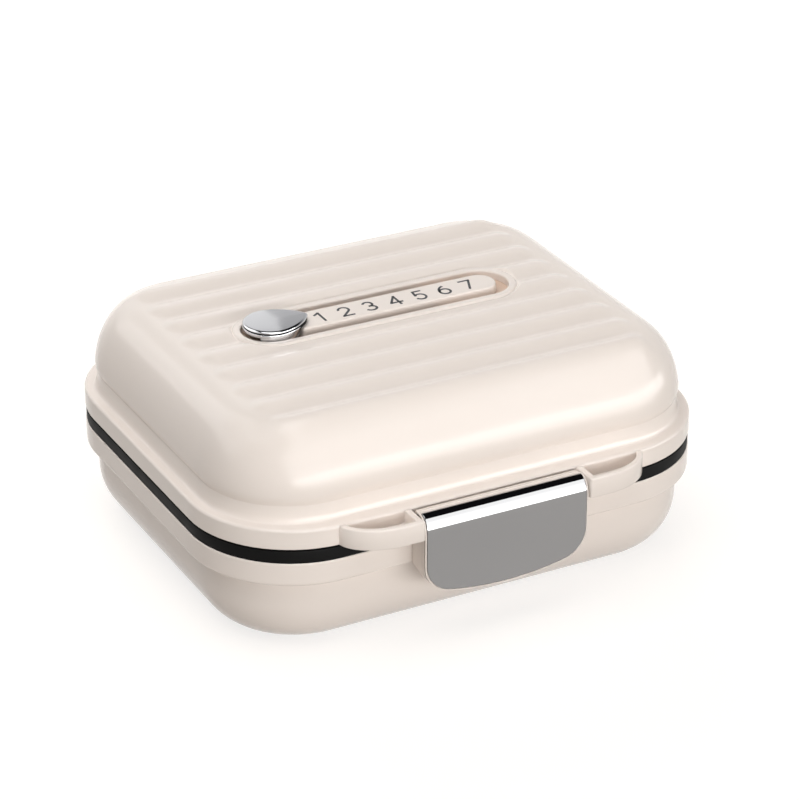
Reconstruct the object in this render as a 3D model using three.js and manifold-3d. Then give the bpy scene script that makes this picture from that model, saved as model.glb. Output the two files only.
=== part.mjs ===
// Weekly pill organizer: a rounded two-part case with a ribbed lid, a front latch with a chromed
// plate, a black seal between the two rims, and a chromed day slider with the numbers 1 to 7.
// Millimetres, +Z up, +X along the latch edge, -Y towards the latch.
// The origin is the middle of the flat underside of the base. The lid is closed.

import * as THREE from 'three';
import { mergeVertices } from 'three/addons/utils/BufferGeometryUtils.js';
import Module from 'manifold-3d';

const wasm = await Module();
wasm.setup();

// Clearances
const fitGap = 0.3;
const lapIn = 0.5;

// Facets
const cornerSteps = 7;
const roundSteps = 20;
const filletSteps = 5;

// Rims of base and lid
const rimHalfX = 56.0;
const rimHalfY = 47.05;
const rimCorner = 22.7;

// Base shell
const flangeReachX = 2.4;
const flangeReachY = 2.25;
const baseFootIn = 9.5;
const baseFootUp = 10.7;
const baseFlangeBottom = 16.5;
const baseFlangeHeight = 5.35;
const baseWall = 1.8;
const baseFloor = 2.0;
const shelfWidth = 1.9;
const shelfHeight = 1.8;
const shelfDrop = 1.8;

// Seal ring between the rims
const sealSetBack = 0.5;
const sealWidth = 3.1;
const sealHeight = 2.45;
const sealTongueWidth = 1.0;
const sealTongueHeight = 1.1;

// Lid shell
const bandHeight = 4.4;
const ledgeX = 1.9;
const ledgeY = 2.6;
const domeHeight = 18.3;
const domeDraft = 0.103;
const shoulderIn = 10.3;
const shoulderUp = 14.9;
const lidWall = 1.8;
const lidTop = 1.9;

// Ribs on the lid
const ribCount = 9;
const ribsInFront = 5;
const ribPitch = 8.3;
const ribSetForward = 1.5;
const ribGap = 1.65;
const ribEndIn = 10.4;
const ribHeight = 0.7;
const ribRoot = 2.5;

// Day slider recess on the lid
const recessY = 3.5;
const recessHalfLength = 30.65;
const recessHalfWidth = 6.15;
const recessDepth = 1.2;
const recessFloor = 1.4;
const recessWall = 1.9;
const bezelWidth = 2.4;
const bezelHeight = 0.5;
const dayCount = 7;
const dayPitch = 5.8;

// Number strip in the recess
const stripLeftGap = 11.85;
const stripRightGap = 2.75;
const stripHalfWidth = 3.65;
const stripAboveTop = 0.75;

// Slider knob, its clip, spring and detent rack
const knobEndGap = 0.4;
const knobRadius = 5.75;
const knobTipReach = 8.4;
const knobTipRadius = 1.0;
const knobFlankRadius = 11.0;
const knobHeight = 1.4;
const knobRoundIn = 0.35;
const knobRoundUp = 0.5;
const skirtAboveFloor = 0.5;
const legThickness = 1.2;
const legLength = 5.0;
const legBesideStrip = 0.35;
const legBelowFloor = 1.0;
const clipThickness = 1.5;
const clipMargin = 0.6;
const springReach = 0.6;
const springThickness = 0.3;
const springHeight = 0.9;
const rackWidth = 1.0;
const rackHeight = 1.7;
const rackNotchDepth = 0.4;
const rackNotchHalf = 1.2;
const rackEndMargin = 2.4;

// Compartment tray and its dividers
const trayShelfGap = 0.9;
const trayWall = 1.6;
const trayFloor = 1.5;
const trayLift = 0.4;
const trayProud = 9.6;
const trayFootIn = 6.5;
const trayFootUp = 7.5;
const grooveDepth = 0.7;
const longDividerThickness = 2.2;
const dividerThickness = 1.2;
const dividerGrooveDepth = 0.6;
const frontCells = 4;
const backCells = 3;

// Liner and pad under the lid
const padHeight = 1.3;
const linerHeight = 1.5;
const linerGap = 0.5;
const padSetIn = 0.5;
const screwInX = 18.1;
const screwInY = 18.45;
const screwHeadRadius = 2.2;
const screwHeadHeight = 1.0;
const screwRadius = 1.1;
const screwReach = 5.2;
const screwSeatGap = 0.15;
const bossRadius = 3.0;

// Rear hinge
const hingeBehindRim = 3.15;
const hingeAboveFlange = 1.35;
const knuckleRadius = 2.6;
const lidKnuckleHalf = 12.0;
const baseKnuckleLength = 10.6;
const hingePinRadius = 0.9;

// Latch lever, chromed plate and pin
const latchStandOut = 6.1;
const latchAboveBand = 0.25;
const latchBendRadius = 2.45;
const plateThickness = 0.45;
const plateHalfWidth = 18.15;
const plateHeight = 18.45;
const plateCornerRadius = 6.4;
const plateBottomRise = 1.2;
const leverRim = 0.3;
const leverSkin = 1.5;
const leverLipRadius = 2.35;
const leverLipWidth = 1.2;
const cheekWidth = 1.8;
const cheekAboveFlangeBottom = 0.25;
const cheekBelowLid = 0.7;
const clawHalfWidth = 12.0;
const clawHeight = 1.6;
const clawTipGap = 0.65;
const clawWeb = 3.4;
const latchPinRadius = 0.7;
const latchPinHoleDepth = 1.05;

// Latch ears on the lid
const earEndWall = 1.4;
const earStraight = 4.25;
const earReachX = 11.4;
const earRootIn = 1.05;
const earProud = 0.25;
const earWall = 1.3;
const earFloor = 1.4;

// Worked-out outlines
const bodyHalfX = rimHalfX - flangeReachX;
const bodyHalfY = rimHalfY - flangeReachY;
const bodyCorner = rimCorner - (flangeReachX + flangeReachY) / 2;
const domeHalfX = rimHalfX - ledgeX;
const domeHalfY = rimHalfY - ledgeY;
const domeCorner = rimCorner - ledgeY;

// Worked-out levels
const baseFlangeTop = baseFlangeBottom + baseFlangeHeight;
const shelfTop = baseFlangeTop - shelfDrop;
const lidBottom = baseFlangeTop + sealHeight + fitGap;
const bandTop = lidBottom + bandHeight;
const domeTop = bandTop + domeHeight;
const ceiling = domeTop - lidTop;
const recessBottom = domeTop - recessDepth;
const wellBottom = recessBottom - recessFloor;
const stripTop = domeTop + stripAboveTop;
const trayTop = lidBottom + trayProud;
const padBottom = trayTop + fitGap;
const linerBottom = padBottom + padHeight;
const linerTop = linerBottom + linerHeight;
const trayBottom = baseFloor + trayLift;
const trayInnerFloor = trayBottom + trayFloor;

// Worked-out places
const hingeY = rimHalfY + hingeBehindRim;
const hingeZ = baseFlangeTop + hingeAboveFlange;
const baseKnuckleStart = lidKnuckleHalf + fitGap;
const screwX = domeHalfX - screwInX;
const screwY = domeHalfY - screwInY;
const ribFirstY = recessY - ribSetForward - (ribsInFront - 0.5) * ribPitch;
const ribHalfWidth = (ribPitch - ribGap) / 2;
const ribHalfLength = domeHalfX - ribEndIn;
const knobX = knobEndGap + knobRadius - recessHalfLength;
const travel = dayPitch * (dayCount - 1);
const legHalf = legLength / 2;
const legOut = stripHalfWidth + legBesideStrip + legThickness / 2;
const latchFrontY = rimHalfY + latchStandOut;
const latchTopZ = bandTop + latchAboveBand;
const latchPinY = latchBendRadius - latchFrontY;
const latchPinZ = latchTopZ - latchBendRadius;
const plateBottomZ = latchTopZ - plateHeight;
const leverHalfWidth = plateHalfWidth + leverRim;
const earInnerX = leverHalfWidth + fitGap;
const earStraightX = earInnerX + earStraight;
const earRootY = rimHalfY - earRootIn;
const earReachY = latchFrontY + earProud - earRootY;

// Materials
const glossShell = { color: '#efe6df', roughness: 0.28 };
const innerShell = { color: '#efe6df', roughness: 0.35 };
const mechanism = { color: '#e4dbd4', roughness: 0.45 };
const silicone = { color: '#141414', roughness: 0.55 };
const paleSilicone = { color: '#f4efea', roughness: 0.6 };
const chrome = { color: '#b9b9ba', roughness: 0.12, metalness: 1 };
const steel = { color: '#9a9da0', roughness: 0.3, metalness: 1 };

const organizer = new THREE.Group();

// A closed three.js geometry as a solid that can be cut and joined
function solid(geometry) {
  const bare = geometry.clone();
  bare.deleteAttribute('normal');
  bare.deleteAttribute('uv');
  const merged = mergeVertices(bare, 1e-4);
  return new wasm.Manifold(new wasm.Mesh({
    numProp: 3,
    vertProperties: new Float32Array(merged.attributes.position.array),
    triVerts: new Uint32Array(merged.index.array),
  }));
}

// The solid's triangles as a geometry again, added to the organizer under a name
function add(name, body, look) {
  const result = body.getMesh();
  const geometry = new THREE.BufferGeometry();
  const places = new Float32Array(result.vertProperties);
  geometry.setAttribute('position', new THREE.BufferAttribute(places, 3));
  geometry.setIndex(new THREE.BufferAttribute(new Uint32Array(result.triVerts), 1));
  geometry.computeVertexNormals();
  const mesh = new THREE.Mesh(geometry, new THREE.MeshStandardMaterial(look));
  mesh.name = name;
  organizer.add(mesh);
}

// A box between two corners
function box(x0, x1, y0, y1, z0, z1) {
  const geometry = new THREE.BoxGeometry(x1 - x0, y1 - y0, z1 - z0);
  geometry.translate((x0 + x1) / 2, (y0 + y1) / 2, (z0 + z1) / 2);
  return solid(geometry);
}

// A round bar along X, between two x values
function barX(radius, x0, x1, y, z) {
  const geometry = new THREE.CylinderGeometry(radius, radius, x1 - x0, roundSteps);
  geometry.rotateZ(Math.PI / 2);
  geometry.translate((x0 + x1) / 2, y, z);
  return solid(geometry);
}

// A round bar along Z, between two heights
function barZ(radius, x, y, z0, z1) {
  const geometry = new THREE.CylinderGeometry(radius, radius, z1 - z0, roundSteps);
  geometry.rotateX(Math.PI / 2);
  geometry.translate(x, y, (z0 + z1) / 2);
  return solid(geometry);
}

// A plan outline extruded between two heights
function prismZ(points, z0, z1) {
  const shape = new THREE.Shape(points);
  const geometry = new THREE.ExtrudeGeometry(shape, { depth: z1 - z0, bevelEnabled: false });
  geometry.translate(0, 0, z0);
  return solid(geometry);
}

// An outline in (x, z) extruded between two y values
function prismY(points, y0, y1) {
  const shape = new THREE.Shape(points);
  const geometry = new THREE.ExtrudeGeometry(shape, { depth: y1 - y0, bevelEnabled: false });
  geometry.rotateX(Math.PI / 2);
  geometry.translate(0, y1, 0);
  return solid(geometry);
}

// An outline in (y, z) extruded between two x values
function prismX(points, x0, x1) {
  const shape = new THREE.Shape(points);
  const geometry = new THREE.ExtrudeGeometry(shape, { depth: x1 - x0, bevelEnabled: false });
  geometry.rotateX(Math.PI / 2);
  geometry.rotateZ(Math.PI / 2);
  geometry.translate(x0, 0, 0);
  return solid(geometry);
}

// Points of an arc of an ellipse, from one angle to another
function arc(centreX, centreY, radiusX, radiusY, from, to, steps) {
  const points = [];
  for (let i = 0; i <= steps; i++) {
    const angle = from + (to - from) * i / steps;
    const x = centreX + radiusX * Math.cos(angle);
    const y = centreY + radiusY * Math.sin(angle);
    points.push(new THREE.Vector2(x, y));
  }
  return points;
}

// A rectangle with rounded corners, counter-clockwise from the front right
function roundedOutline(halfX, halfY, corner) {
  const points = [];
  for (let i = 0; i < 4; i++) {
    const sideX = i === 0 || i === 1 ? 1 : -1;
    const sideY = i === 1 || i === 2 ? 1 : -1;
    const start = (i - 1) * Math.PI / 2;
    const centreX = sideX * (halfX - corner);
    const centreY = sideY * (halfY - corner);
    points.push(...arc(centreX, centreY, corner, corner, start, start + Math.PI / 2, cornerSteps));
  }
  return points;
}

// The rim-like outline with all its sides moved in by one distance
function insetOutline(halfX, halfY, corner, inset) {
  return roundedOutline(halfX - inset, halfY - inset, Math.max(corner - inset, lapIn));
}

// A stadium along X
function stadium(centreY, halfLength, halfWidth) {
  const reach = halfLength - halfWidth;
  const right = arc(reach, centreY, halfWidth, halfWidth, -Math.PI / 2, Math.PI / 2, roundSteps / 2);
  const left = arc(-reach, centreY, halfWidth, halfWidth, Math.PI / 2, 3 * Math.PI / 2, roundSteps / 2);
  return [...right, ...left];
}

// A closed body through outlines of equal length, each at its own height
function loft(rings) {
  const count = rings[0].points.length;
  const positions = [];
  const indices = [];
  for (const ring of rings) {
    for (const point of ring.points) {
      positions.push(point.x, point.y, ring.z);
    }
  }
  for (let level = 0; level < rings.length - 1; level++) {
    for (let i = 0; i < count; i++) {
      const next = (i + 1) % count;
      const low = level * count;
      const high = low + count;
      indices.push(low + i, low + next, high + next);
      indices.push(low + i, high + next, high + i);
    }
  }
  const last = (rings.length - 1) * count;
  for (let i = 1; i < count - 1; i++) {
    indices.push(0, i + 1, i);
    indices.push(last, last + i, last + i + 1);
  }
  const geometry = new THREE.BufferGeometry();
  geometry.setAttribute('position', new THREE.Float32BufferAttribute(positions, 3));
  geometry.setIndex(indices);
  return solid(geometry);
}

// How far a quarter-round edge has drawn in at a share of its height, 0 at its start and 1 at its end
function roundInset(share) {
  return 1 - Math.sqrt(Math.max(0, 1 - share * share));
}

// A tub with straight sides and a rounded foot, from its underside up to a height
function tub(halfX, halfY, corner, bottom, top, footIn, footUp) {
  const rings = [];
  for (let i = filletSteps; i >= 0; i--) {
    const share = Math.sin(i / filletSteps * Math.PI / 2);
    const points = insetOutline(halfX, halfY, corner, footIn * roundInset(share));
    rings.push({ points, z: bottom + footUp * (1 - share) });
  }
  rings.push({ points: roundedOutline(halfX, halfY, corner), z: top });
  return loft(rings);
}

// A dome with drafted sides and a rounded shoulder, from its foot up to a flat top
function dome(halfX, halfY, corner, skirtBottom, foot, top, inwards, upwards) {
  const rings = [];
  rings.push({ points: roundedOutline(halfX, halfY, corner), z: skirtBottom });
  rings.push({ points: roundedOutline(halfX, halfY, corner), z: foot });
  const draft = domeDraft * (top - upwards - foot);
  for (let i = 0; i <= filletSteps; i++) {
    const share = Math.sin(i / filletSteps * Math.PI / 2);
    const points = insetOutline(halfX, halfY, corner, draft + inwards * roundInset(share));
    rings.push({ points, z: top - upwards * (1 - share) });
  }
  return loft(rings);
}

// A flat ring between an outline and the same outline moved in
function rimRing(outer, inner, z0, z1) {
  return prismZ(outer, z0, z1).subtract(prismZ(inner, z0 - lapIn, z1 + lapIn));
}

// Base shell: moulded tub with a rim flange, a seal groove, a shelf for the tray and two hinge knuckles
const cavityHalfX = bodyHalfX - baseWall;
const cavityHalfY = bodyHalfY - baseWall;
const cavityCorner = bodyCorner - baseWall;
const tongueInset = sealSetBack + (sealWidth - sealTongueWidth) / 2;
const tongueOuter = insetOutline(rimHalfX, rimHalfY, rimCorner, tongueInset);
const tongueInner = insetOutline(rimHalfX, rimHalfY, rimCorner, tongueInset + sealTongueWidth);
const grooveOuter = insetOutline(rimHalfX, rimHalfY, rimCorner, tongueInset - fitGap);
const grooveInner = insetOutline(rimHalfX, rimHalfY, rimCorner, tongueInset + sealTongueWidth + fitGap);

function baseShell() {
  let body = tub(bodyHalfX, bodyHalfY, bodyCorner, 0, baseFlangeTop, baseFootIn, baseFootUp);
  body = body.add(prismZ(roundedOutline(rimHalfX, rimHalfY, rimCorner), baseFlangeBottom, baseFlangeTop));
  const footIn = baseFootIn - baseWall;
  const footUp = baseFootUp - baseFloor;
  body = body.subtract(tub(
    cavityHalfX, cavityHalfY, cavityCorner,
    baseFloor, baseFlangeTop + lapIn, footIn, footUp,
  ));
  const shelfOuter = insetOutline(cavityHalfX, cavityHalfY, cavityCorner, -lapIn);
  const shelfInner = insetOutline(cavityHalfX, cavityHalfY, cavityCorner, shelfWidth);
  body = body.add(rimRing(shelfOuter, shelfInner, shelfTop - shelfHeight, shelfTop));
  const grooveBottom = baseFlangeTop - sealTongueHeight - fitGap;
  body = body.subtract(rimRing(grooveOuter, grooveInner, grooveBottom, baseFlangeTop + lapIn));
  for (const side of [-1, 1]) {
    const near = side * baseKnuckleStart;
    const far = side * (baseKnuckleStart + baseKnuckleLength);
    const x0 = Math.min(near, far);
    const x1 = Math.max(near, far);
    body = body.add(barX(knuckleRadius, x0, x1, hingeY, hingeZ));
    body = body.add(box(x0, x1, rimHalfY - lapIn, hingeY, hingeZ - knuckleRadius, baseFlangeTop));
    body = body.subtract(barX(hingePinRadius + fitGap, x0 - lapIn, x1 + lapIn, hingeY, hingeZ));
  }
  return body;
}

add('base_shell', baseShell(), glossShell);

// Seal ring: black silicone band with a tongue that sits in the groove of the base
function sealRing() {
  const outer = insetOutline(rimHalfX, rimHalfY, rimCorner, sealSetBack);
  const inner = insetOutline(rimHalfX, rimHalfY, rimCorner, sealSetBack + sealWidth);
  const band = rimRing(outer, inner, baseFlangeTop, baseFlangeTop + sealHeight);
  return band.add(rimRing(tongueOuter, tongueInner, baseFlangeTop - sealTongueHeight, baseFlangeTop + lapIn));
}

add('seal_ring', sealRing(), silicone);

// Hinge pin: plain steel rod through the three knuckles
const hingePinHalf = baseKnuckleStart + baseKnuckleLength - fitGap;
add('hinge_pin', barX(hingePinRadius, -hingePinHalf, hingePinHalf, hingeY, hingeZ), steel);

// Compartment tray: open tub whose collar rests on the shelf of the base
const traySetIn = shelfWidth + trayShelfGap;
const trayHalfX = cavityHalfX - traySetIn;
const trayHalfY = cavityHalfY - traySetIn;
const trayCorner = cavityCorner - traySetIn;
const trayInnerHalfX = trayHalfX - trayWall;
const trayInnerHalfY = trayHalfY - trayWall;
const trayInnerCorner = trayCorner - trayWall;
const trayInnerFootIn = trayFootIn - trayWall;
const trayInnerFootUp = trayFootUp - trayFloor;
const collarTop = baseFlangeTop - fitGap;
const grooveStartZ = trayInnerFloor + trayInnerFootUp + fitGap;
const longDividerY = trayInnerHalfY * (2 * frontCells / (frontCells + backCells) - 1);
const frontDividerX = dividerPlaces(frontCells);
const backDividerX = dividerPlaces(backCells);

// The x values of the cross dividers that part one row into equal cells
function dividerPlaces(cells) {
  const places = [];
  for (let i = 1; i < cells; i++) {
    places.push(trayInnerHalfX * (2 * i / cells - 1));
  }
  return places;
}

function compartmentTray() {
  let body = tub(trayHalfX, trayHalfY, trayCorner, trayBottom, trayTop, trayFootIn, trayFootUp);
  const collarOuter = insetOutline(cavityHalfX, cavityHalfY, cavityCorner, fitGap);
  body = body.add(prismZ(collarOuter, shelfTop, collarTop));
  body = body.subtract(tub(
    trayInnerHalfX, trayInnerHalfY, trayInnerCorner,
    trayInnerFloor, trayTop + lapIn, trayInnerFootIn, trayInnerFootUp,
  ));
  const grooveX = trayInnerHalfX + grooveDepth;
  const grooveHalf = longDividerThickness / 2 + fitGap;
  const y0 = longDividerY - grooveHalf;
  const y1 = longDividerY + grooveHalf;
  const top = trayTop + lapIn;
  body = body.subtract(box(-grooveX, grooveX, y0, y1, grooveStartZ, top));
  const crossHalf = dividerThickness / 2 + fitGap;
  const grooveY = trayInnerHalfY + grooveDepth;
  for (const x of frontDividerX) {
    body = body.subtract(box(x - crossHalf, x + crossHalf, -grooveY, longDividerY, grooveStartZ, top));
  }
  for (const x of backDividerX) {
    body = body.subtract(box(x - crossHalf, x + crossHalf, longDividerY, grooveY, grooveStartZ, top));
  }
  return body;
}

add('compartment_tray', compartmentTray(), innerShell);

// Half of a divider's outline: its foot clears the round corner of the tray and its edge runs in a groove
function dividerEnd(wallPlace) {
  const footPlace = wallPlace - trayInnerFootIn - fitGap;
  const edgePlace = wallPlace - fitGap;
  const tonguePlace = wallPlace + grooveDepth - fitGap;
  const shoulderZ = grooveStartZ + fitGap;
  return [
    new THREE.Vector2(footPlace, trayInnerFloor),
    new THREE.Vector2(edgePlace, shoulderZ),
    new THREE.Vector2(tonguePlace, shoulderZ),
    new THREE.Vector2(tonguePlace, trayTop),
  ];
}

// Long divider: runs the length of the tray and takes the cross dividers in grooves
function longDivider() {
  const right = dividerEnd(trayInnerHalfX);
  const left = right.map((point) => new THREE.Vector2(-point.x, point.y)).reverse();
  const y0 = longDividerY - longDividerThickness / 2;
  const y1 = longDividerY + longDividerThickness / 2;
  let body = prismY([...right, ...left], y0, y1);
  const half = dividerThickness / 2 + fitGap;
  const bottom = trayInnerFloor - lapIn;
  const top = trayTop + lapIn;
  for (const x of frontDividerX) {
    body = body.subtract(box(x - half, x + half, y0 - lapIn, y0 + dividerGrooveDepth, bottom, top));
  }
  for (const x of backDividerX) {
    body = body.subtract(box(x - half, x + half, y1 - dividerGrooveDepth, y1 + lapIn, bottom, top));
  }
  return body;
}

add('long_divider', longDivider(), innerShell);

// Cross divider: from the front or back wall of the tray into the groove of the long divider
function crossDivider(x, side) {
  const wallEnd = dividerEnd(trayInnerHalfY).map((point) => new THREE.Vector2(side * point.x, point.y));
  const inner = longDividerY + side * (longDividerThickness / 2 - dividerGrooveDepth + fitGap);
  const outline = [
    ...wallEnd,
    new THREE.Vector2(inner, trayTop),
    new THREE.Vector2(inner, trayInnerFloor),
  ];
  return prismX(outline, x - dividerThickness / 2, x + dividerThickness / 2);
}

frontDividerX.forEach((x, i) => add(`front_divider_${i + 1}`, crossDivider(x, -1), innerShell));
backDividerX.forEach((x, i) => add(`back_divider_${i + 1}`, crossDivider(x, 1), innerShell));

// One rib of the lid: a low round-backed bead along X that follows the dome down its shoulder
function rib(y) {
  const crown = arc(y, domeTop, ribHalfWidth, ribHeight, Math.PI, 0, filletSteps * 2);
  const root = domeTop - ribRoot;
  const outline = [
    new THREE.Vector2(y - ribHalfWidth, root),
    ...crown,
    new THREE.Vector2(y + ribHalfWidth, root),
  ];
  const cover = dome(
    domeHalfX + ribHeight, domeHalfY + ribHeight, domeCorner + ribHeight,
    lidBottom, bandTop, domeTop + ribHeight, shoulderIn + ribHeight, shoulderUp + ribHeight,
  );
  const underBezel = stadium(
    recessY, recessHalfLength + bezelWidth - fitGap, recessHalfWidth + bezelWidth - fitGap,
  );
  const bead = prismX(outline, -ribHalfLength, ribHalfLength).intersect(cover);
  return bead.subtract(prismZ(underBezel, domeTop, domeTop + ribHeight + lapIn));
}

// One latch ear of the lid: a curved wall that stands out in front of the rim, beside the latch
function ear(side) {
  const outer = [
    new THREE.Vector2(side * earInnerX, -earRootY),
    new THREE.Vector2(side * earInnerX, -earRootY - earReachY),
  ];
  for (const point of arc(earStraightX, -earRootY, earReachX, earReachY, -Math.PI / 2, 0, cornerSteps)) {
    outer.push(new THREE.Vector2(side * point.x, point.y));
  }
  return prismZ(outer, lidBottom, bandTop);
}

// The pocket in one ear, open at its top
function earPocket(side) {
  const halfX = earReachX - earWall;
  const halfY = earReachY - earWall;
  const end = -Math.asin((rimHalfY - earRootY) / halfY);
  const inner = [
    new THREE.Vector2(side * (earInnerX + earEndWall), -rimHalfY),
    new THREE.Vector2(side * (earInnerX + earEndWall), -earRootY - halfY),
  ];
  for (const point of arc(earStraightX, -earRootY, halfX, halfY, -Math.PI / 2, end, cornerSteps)) {
    inner.push(new THREE.Vector2(side * point.x, point.y));
  }
  return prismZ(inner, lidBottom + earFloor, bandTop + lapIn);
}

// Lid shell: domed cover with ribs, the recess for the slider, the latch ears and a hinge knuckle
function lidShell() {
  let body = prismZ(roundedOutline(rimHalfX, rimHalfY, rimCorner), lidBottom, bandTop);
  body = body.add(dome(
    domeHalfX, domeHalfY, domeCorner,
    lidBottom, bandTop, domeTop, shoulderIn, shoulderUp,
  ));
  for (let i = 0; i < ribCount; i++) {
    body = body.add(rib(ribFirstY + i * ribPitch));
  }
  const bezel = stadium(recessY, recessHalfLength + bezelWidth, recessHalfWidth + bezelWidth);
  body = body.add(prismZ(bezel, domeTop - lapIn, domeTop + bezelHeight));
  body = body.subtract(dome(
    domeHalfX - lidWall, domeHalfY - lidWall, domeCorner - lidWall,
    lidBottom - lapIn, bandTop, ceiling, shoulderIn - lidWall, shoulderUp - lidTop,
  ));
  const well = stadium(recessY, recessHalfLength + recessWall, recessHalfWidth + recessWall);
  body = body.add(prismZ(well, wellBottom, domeTop));
  const recess = stadium(recessY, recessHalfLength, recessHalfWidth);
  body = body.subtract(prismZ(recess, recessBottom, domeTop + bezelHeight + lapIn));
  for (const side of [-1, 1]) {
    const slotY = recessY + side * legOut;
    const slotHalf = legThickness / 2 + fitGap;
    const x0 = knobX - legHalf - fitGap;
    const x1 = knobX + legHalf + travel + fitGap;
    body = body.subtract(box(x0, x1, slotY - slotHalf, slotY + slotHalf, wellBottom - lapIn, domeTop));
    body = body.add(ear(side)).subtract(earPocket(side));
    const pinEnd = earInnerX + latchPinHoleDepth;
    const holeStart = side > 0 ? earInnerX - lapIn : -pinEnd;
    const holeEnd = side > 0 ? pinEnd : -earInnerX + lapIn;
    body = body.subtract(barX(latchPinRadius + fitGap, holeStart, holeEnd, latchPinY, latchPinZ));
    for (const end of [-1, 1]) {
      body = body.add(barZ(bossRadius, side * screwX, end * screwY, linerTop, ceiling + lapIn));
      const pilotTop = linerTop + screwReach + fitGap;
      const pilot = barZ(screwRadius + fitGap, side * screwX, end * screwY, linerTop - lapIn, pilotTop);
      body = body.subtract(pilot);
    }
  }
  body = body.add(barX(knuckleRadius, -lidKnuckleHalf, lidKnuckleHalf, hingeY, hingeZ));
  const webTop = hingeZ + knuckleRadius;
  body = body.add(box(-lidKnuckleHalf, lidKnuckleHalf, rimHalfY - lapIn, hingeY, lidBottom, webTop));
  const holeHalf = lidKnuckleHalf + lapIn;
  return body.subtract(barX(hingePinRadius + fitGap, -holeHalf, holeHalf, hingeY, hingeZ));
}

add('lid_shell', lidShell(), glossShell);

// Liner: flat plate that closes the underside of the lid, held by four sunk screws
const linerInset = lidWall + linerGap + domeDraft * (linerTop - bandTop);

function lidLiner() {
  let body = prismZ(insetOutline(domeHalfX, domeHalfY, domeCorner, linerInset), linerBottom, linerTop);
  for (const x of [-screwX, screwX]) {
    for (const y of [-screwY, screwY]) {
      body = body.subtract(barZ(screwRadius + fitGap, x, y, linerBottom - lapIn, linerTop + lapIn));
      const sinkTop = linerBottom + screwHeadHeight + screwSeatGap;
      body = body.subtract(barZ(screwHeadRadius + fitGap, x, y, linerBottom - lapIn, sinkTop));
    }
  }
  return body;
}

add('lid_liner', lidLiner(), innerShell);

// Pad: soft silicone sheet on the liner that closes the tops of the cells
const padOutline = insetOutline(domeHalfX, domeHalfY, domeCorner, linerInset + padSetIn);
add('liner_pad', prismZ(padOutline, padBottom, linerBottom), paleSilicone);

// Liner screw: flat-headed, driven up into a boss of the lid
function linerScrew(x, y) {
  const headBottom = linerBottom + screwSeatGap;
  const headTop = linerBottom + screwHeadHeight;
  const profile = [
    new THREE.Vector2(0, headBottom),
    new THREE.Vector2(screwHeadRadius, headBottom),
    new THREE.Vector2(screwHeadRadius, headTop),
    new THREE.Vector2(screwRadius, headTop),
    new THREE.Vector2(screwRadius, linerTop + screwReach),
    new THREE.Vector2(0, linerTop + screwReach),
  ];
  const geometry = new THREE.LatheGeometry(profile, roundSteps / 2);
  geometry.rotateX(Math.PI / 2);
  geometry.translate(x, y, 0);
  return solid(geometry);
}

let screwNumber = 0;
for (const x of [-screwX, screwX]) {
  for (const y of [-screwY, screwY]) {
    screwNumber += 1;
    add(`liner_screw_${screwNumber}`, linerScrew(x, y), steel);
  }
}

// Number strip: raised bar in the recess that carries the printed numbers
function numberStrip() {
  const stripLeft = stripLeftGap - recessHalfLength;
  const centre = recessHalfLength - stripRightGap - stripHalfWidth;
  const outline = [
    new THREE.Vector2(stripLeft, recessY - stripHalfWidth),
    ...arc(centre, recessY, stripHalfWidth, stripHalfWidth, -Math.PI / 2, Math.PI / 2, roundSteps / 2),
    new THREE.Vector2(stripLeft, recessY + stripHalfWidth),
  ];
  return prismZ(outline, recessBottom, stripTop);
}

add('number_strip', numberStrip(), glossShell);

// Knob outline: a round back and two flank arcs that run from it to a small rounded tip.
// Each flank arc shares a tangent with the round back and with the tip.
function dropOutline(inset) {
  const round = knobRadius - inset;
  const tip = knobTipRadius - inset;
  const flank = knobFlankRadius - inset;
  const tipX = knobTipReach - knobTipRadius;
  const flankX = ((flank - round) ** 2 - (flank - tip) ** 2 + tipX ** 2) / (2 * tipX);
  const flankY = Math.sqrt((flank - round) ** 2 - flankX ** 2);
  const atRound = Math.atan2(flankY, -flankX);
  const atTip = Math.atan2(flankY, tipX - flankX);
  const points = [
    ...arc(tipX, 0, tip, tip, -atTip, atTip, filletSteps),
    ...arc(flankX, -flankY, flank, flank, atTip, atRound, filletSteps).slice(1),
    ...arc(0, 0, round, round, atRound, 2 * Math.PI - atRound, roundSteps).slice(1),
    ...arc(flankX, flankY, flank, flank, -atRound, -atTip, filletSteps).slice(1, -1),
  ];
  return points.map((point) => new THREE.Vector2(knobX + point.x, recessY + point.y));
}

// Slider knob: drop-shaped chromed cap whose tip points at a number. Its skirt stands in the recess
// on both sides of the number strip, and two legs reach down through the slots.
function sliderKnob() {
  const bottom = stripTop + fitGap;
  const wallTop = bottom + knobHeight - knobRoundUp;
  const rings = [{ points: dropOutline(0), z: bottom }];
  for (let i = 0; i <= filletSteps; i++) {
    const angle = i / filletSteps * Math.PI / 2;
    const inset = knobRoundIn * (1 - Math.cos(angle));
    rings.push({ points: dropOutline(inset), z: wallTop + knobRoundUp * Math.sin(angle) });
  }
  const channel = stripHalfWidth + legBesideStrip;
  const reach = knobTipReach + lapIn;
  const skirtBottom = recessBottom + skirtAboveFloor;
  let skirt = prismZ(dropOutline(0), skirtBottom, bottom + lapIn);
  skirt = skirt.subtract(box(
    knobX - reach, knobX + reach, recessY - channel, recessY + channel, skirtBottom - lapIn, bottom,
  ));
  let body = loft(rings).add(skirt);
  for (const side of [-1, 1]) {
    const y = recessY + side * legOut;
    const y0 = y - legThickness / 2;
    const y1 = y + legThickness / 2;
    const foot = wellBottom - legBelowFloor;
    body = body.add(box(knobX - legHalf, knobX + legHalf, y0, y1, foot, bottom + lapIn));
  }
  return body;
}

add('slider_knob', sliderKnob(), chrome);

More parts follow.
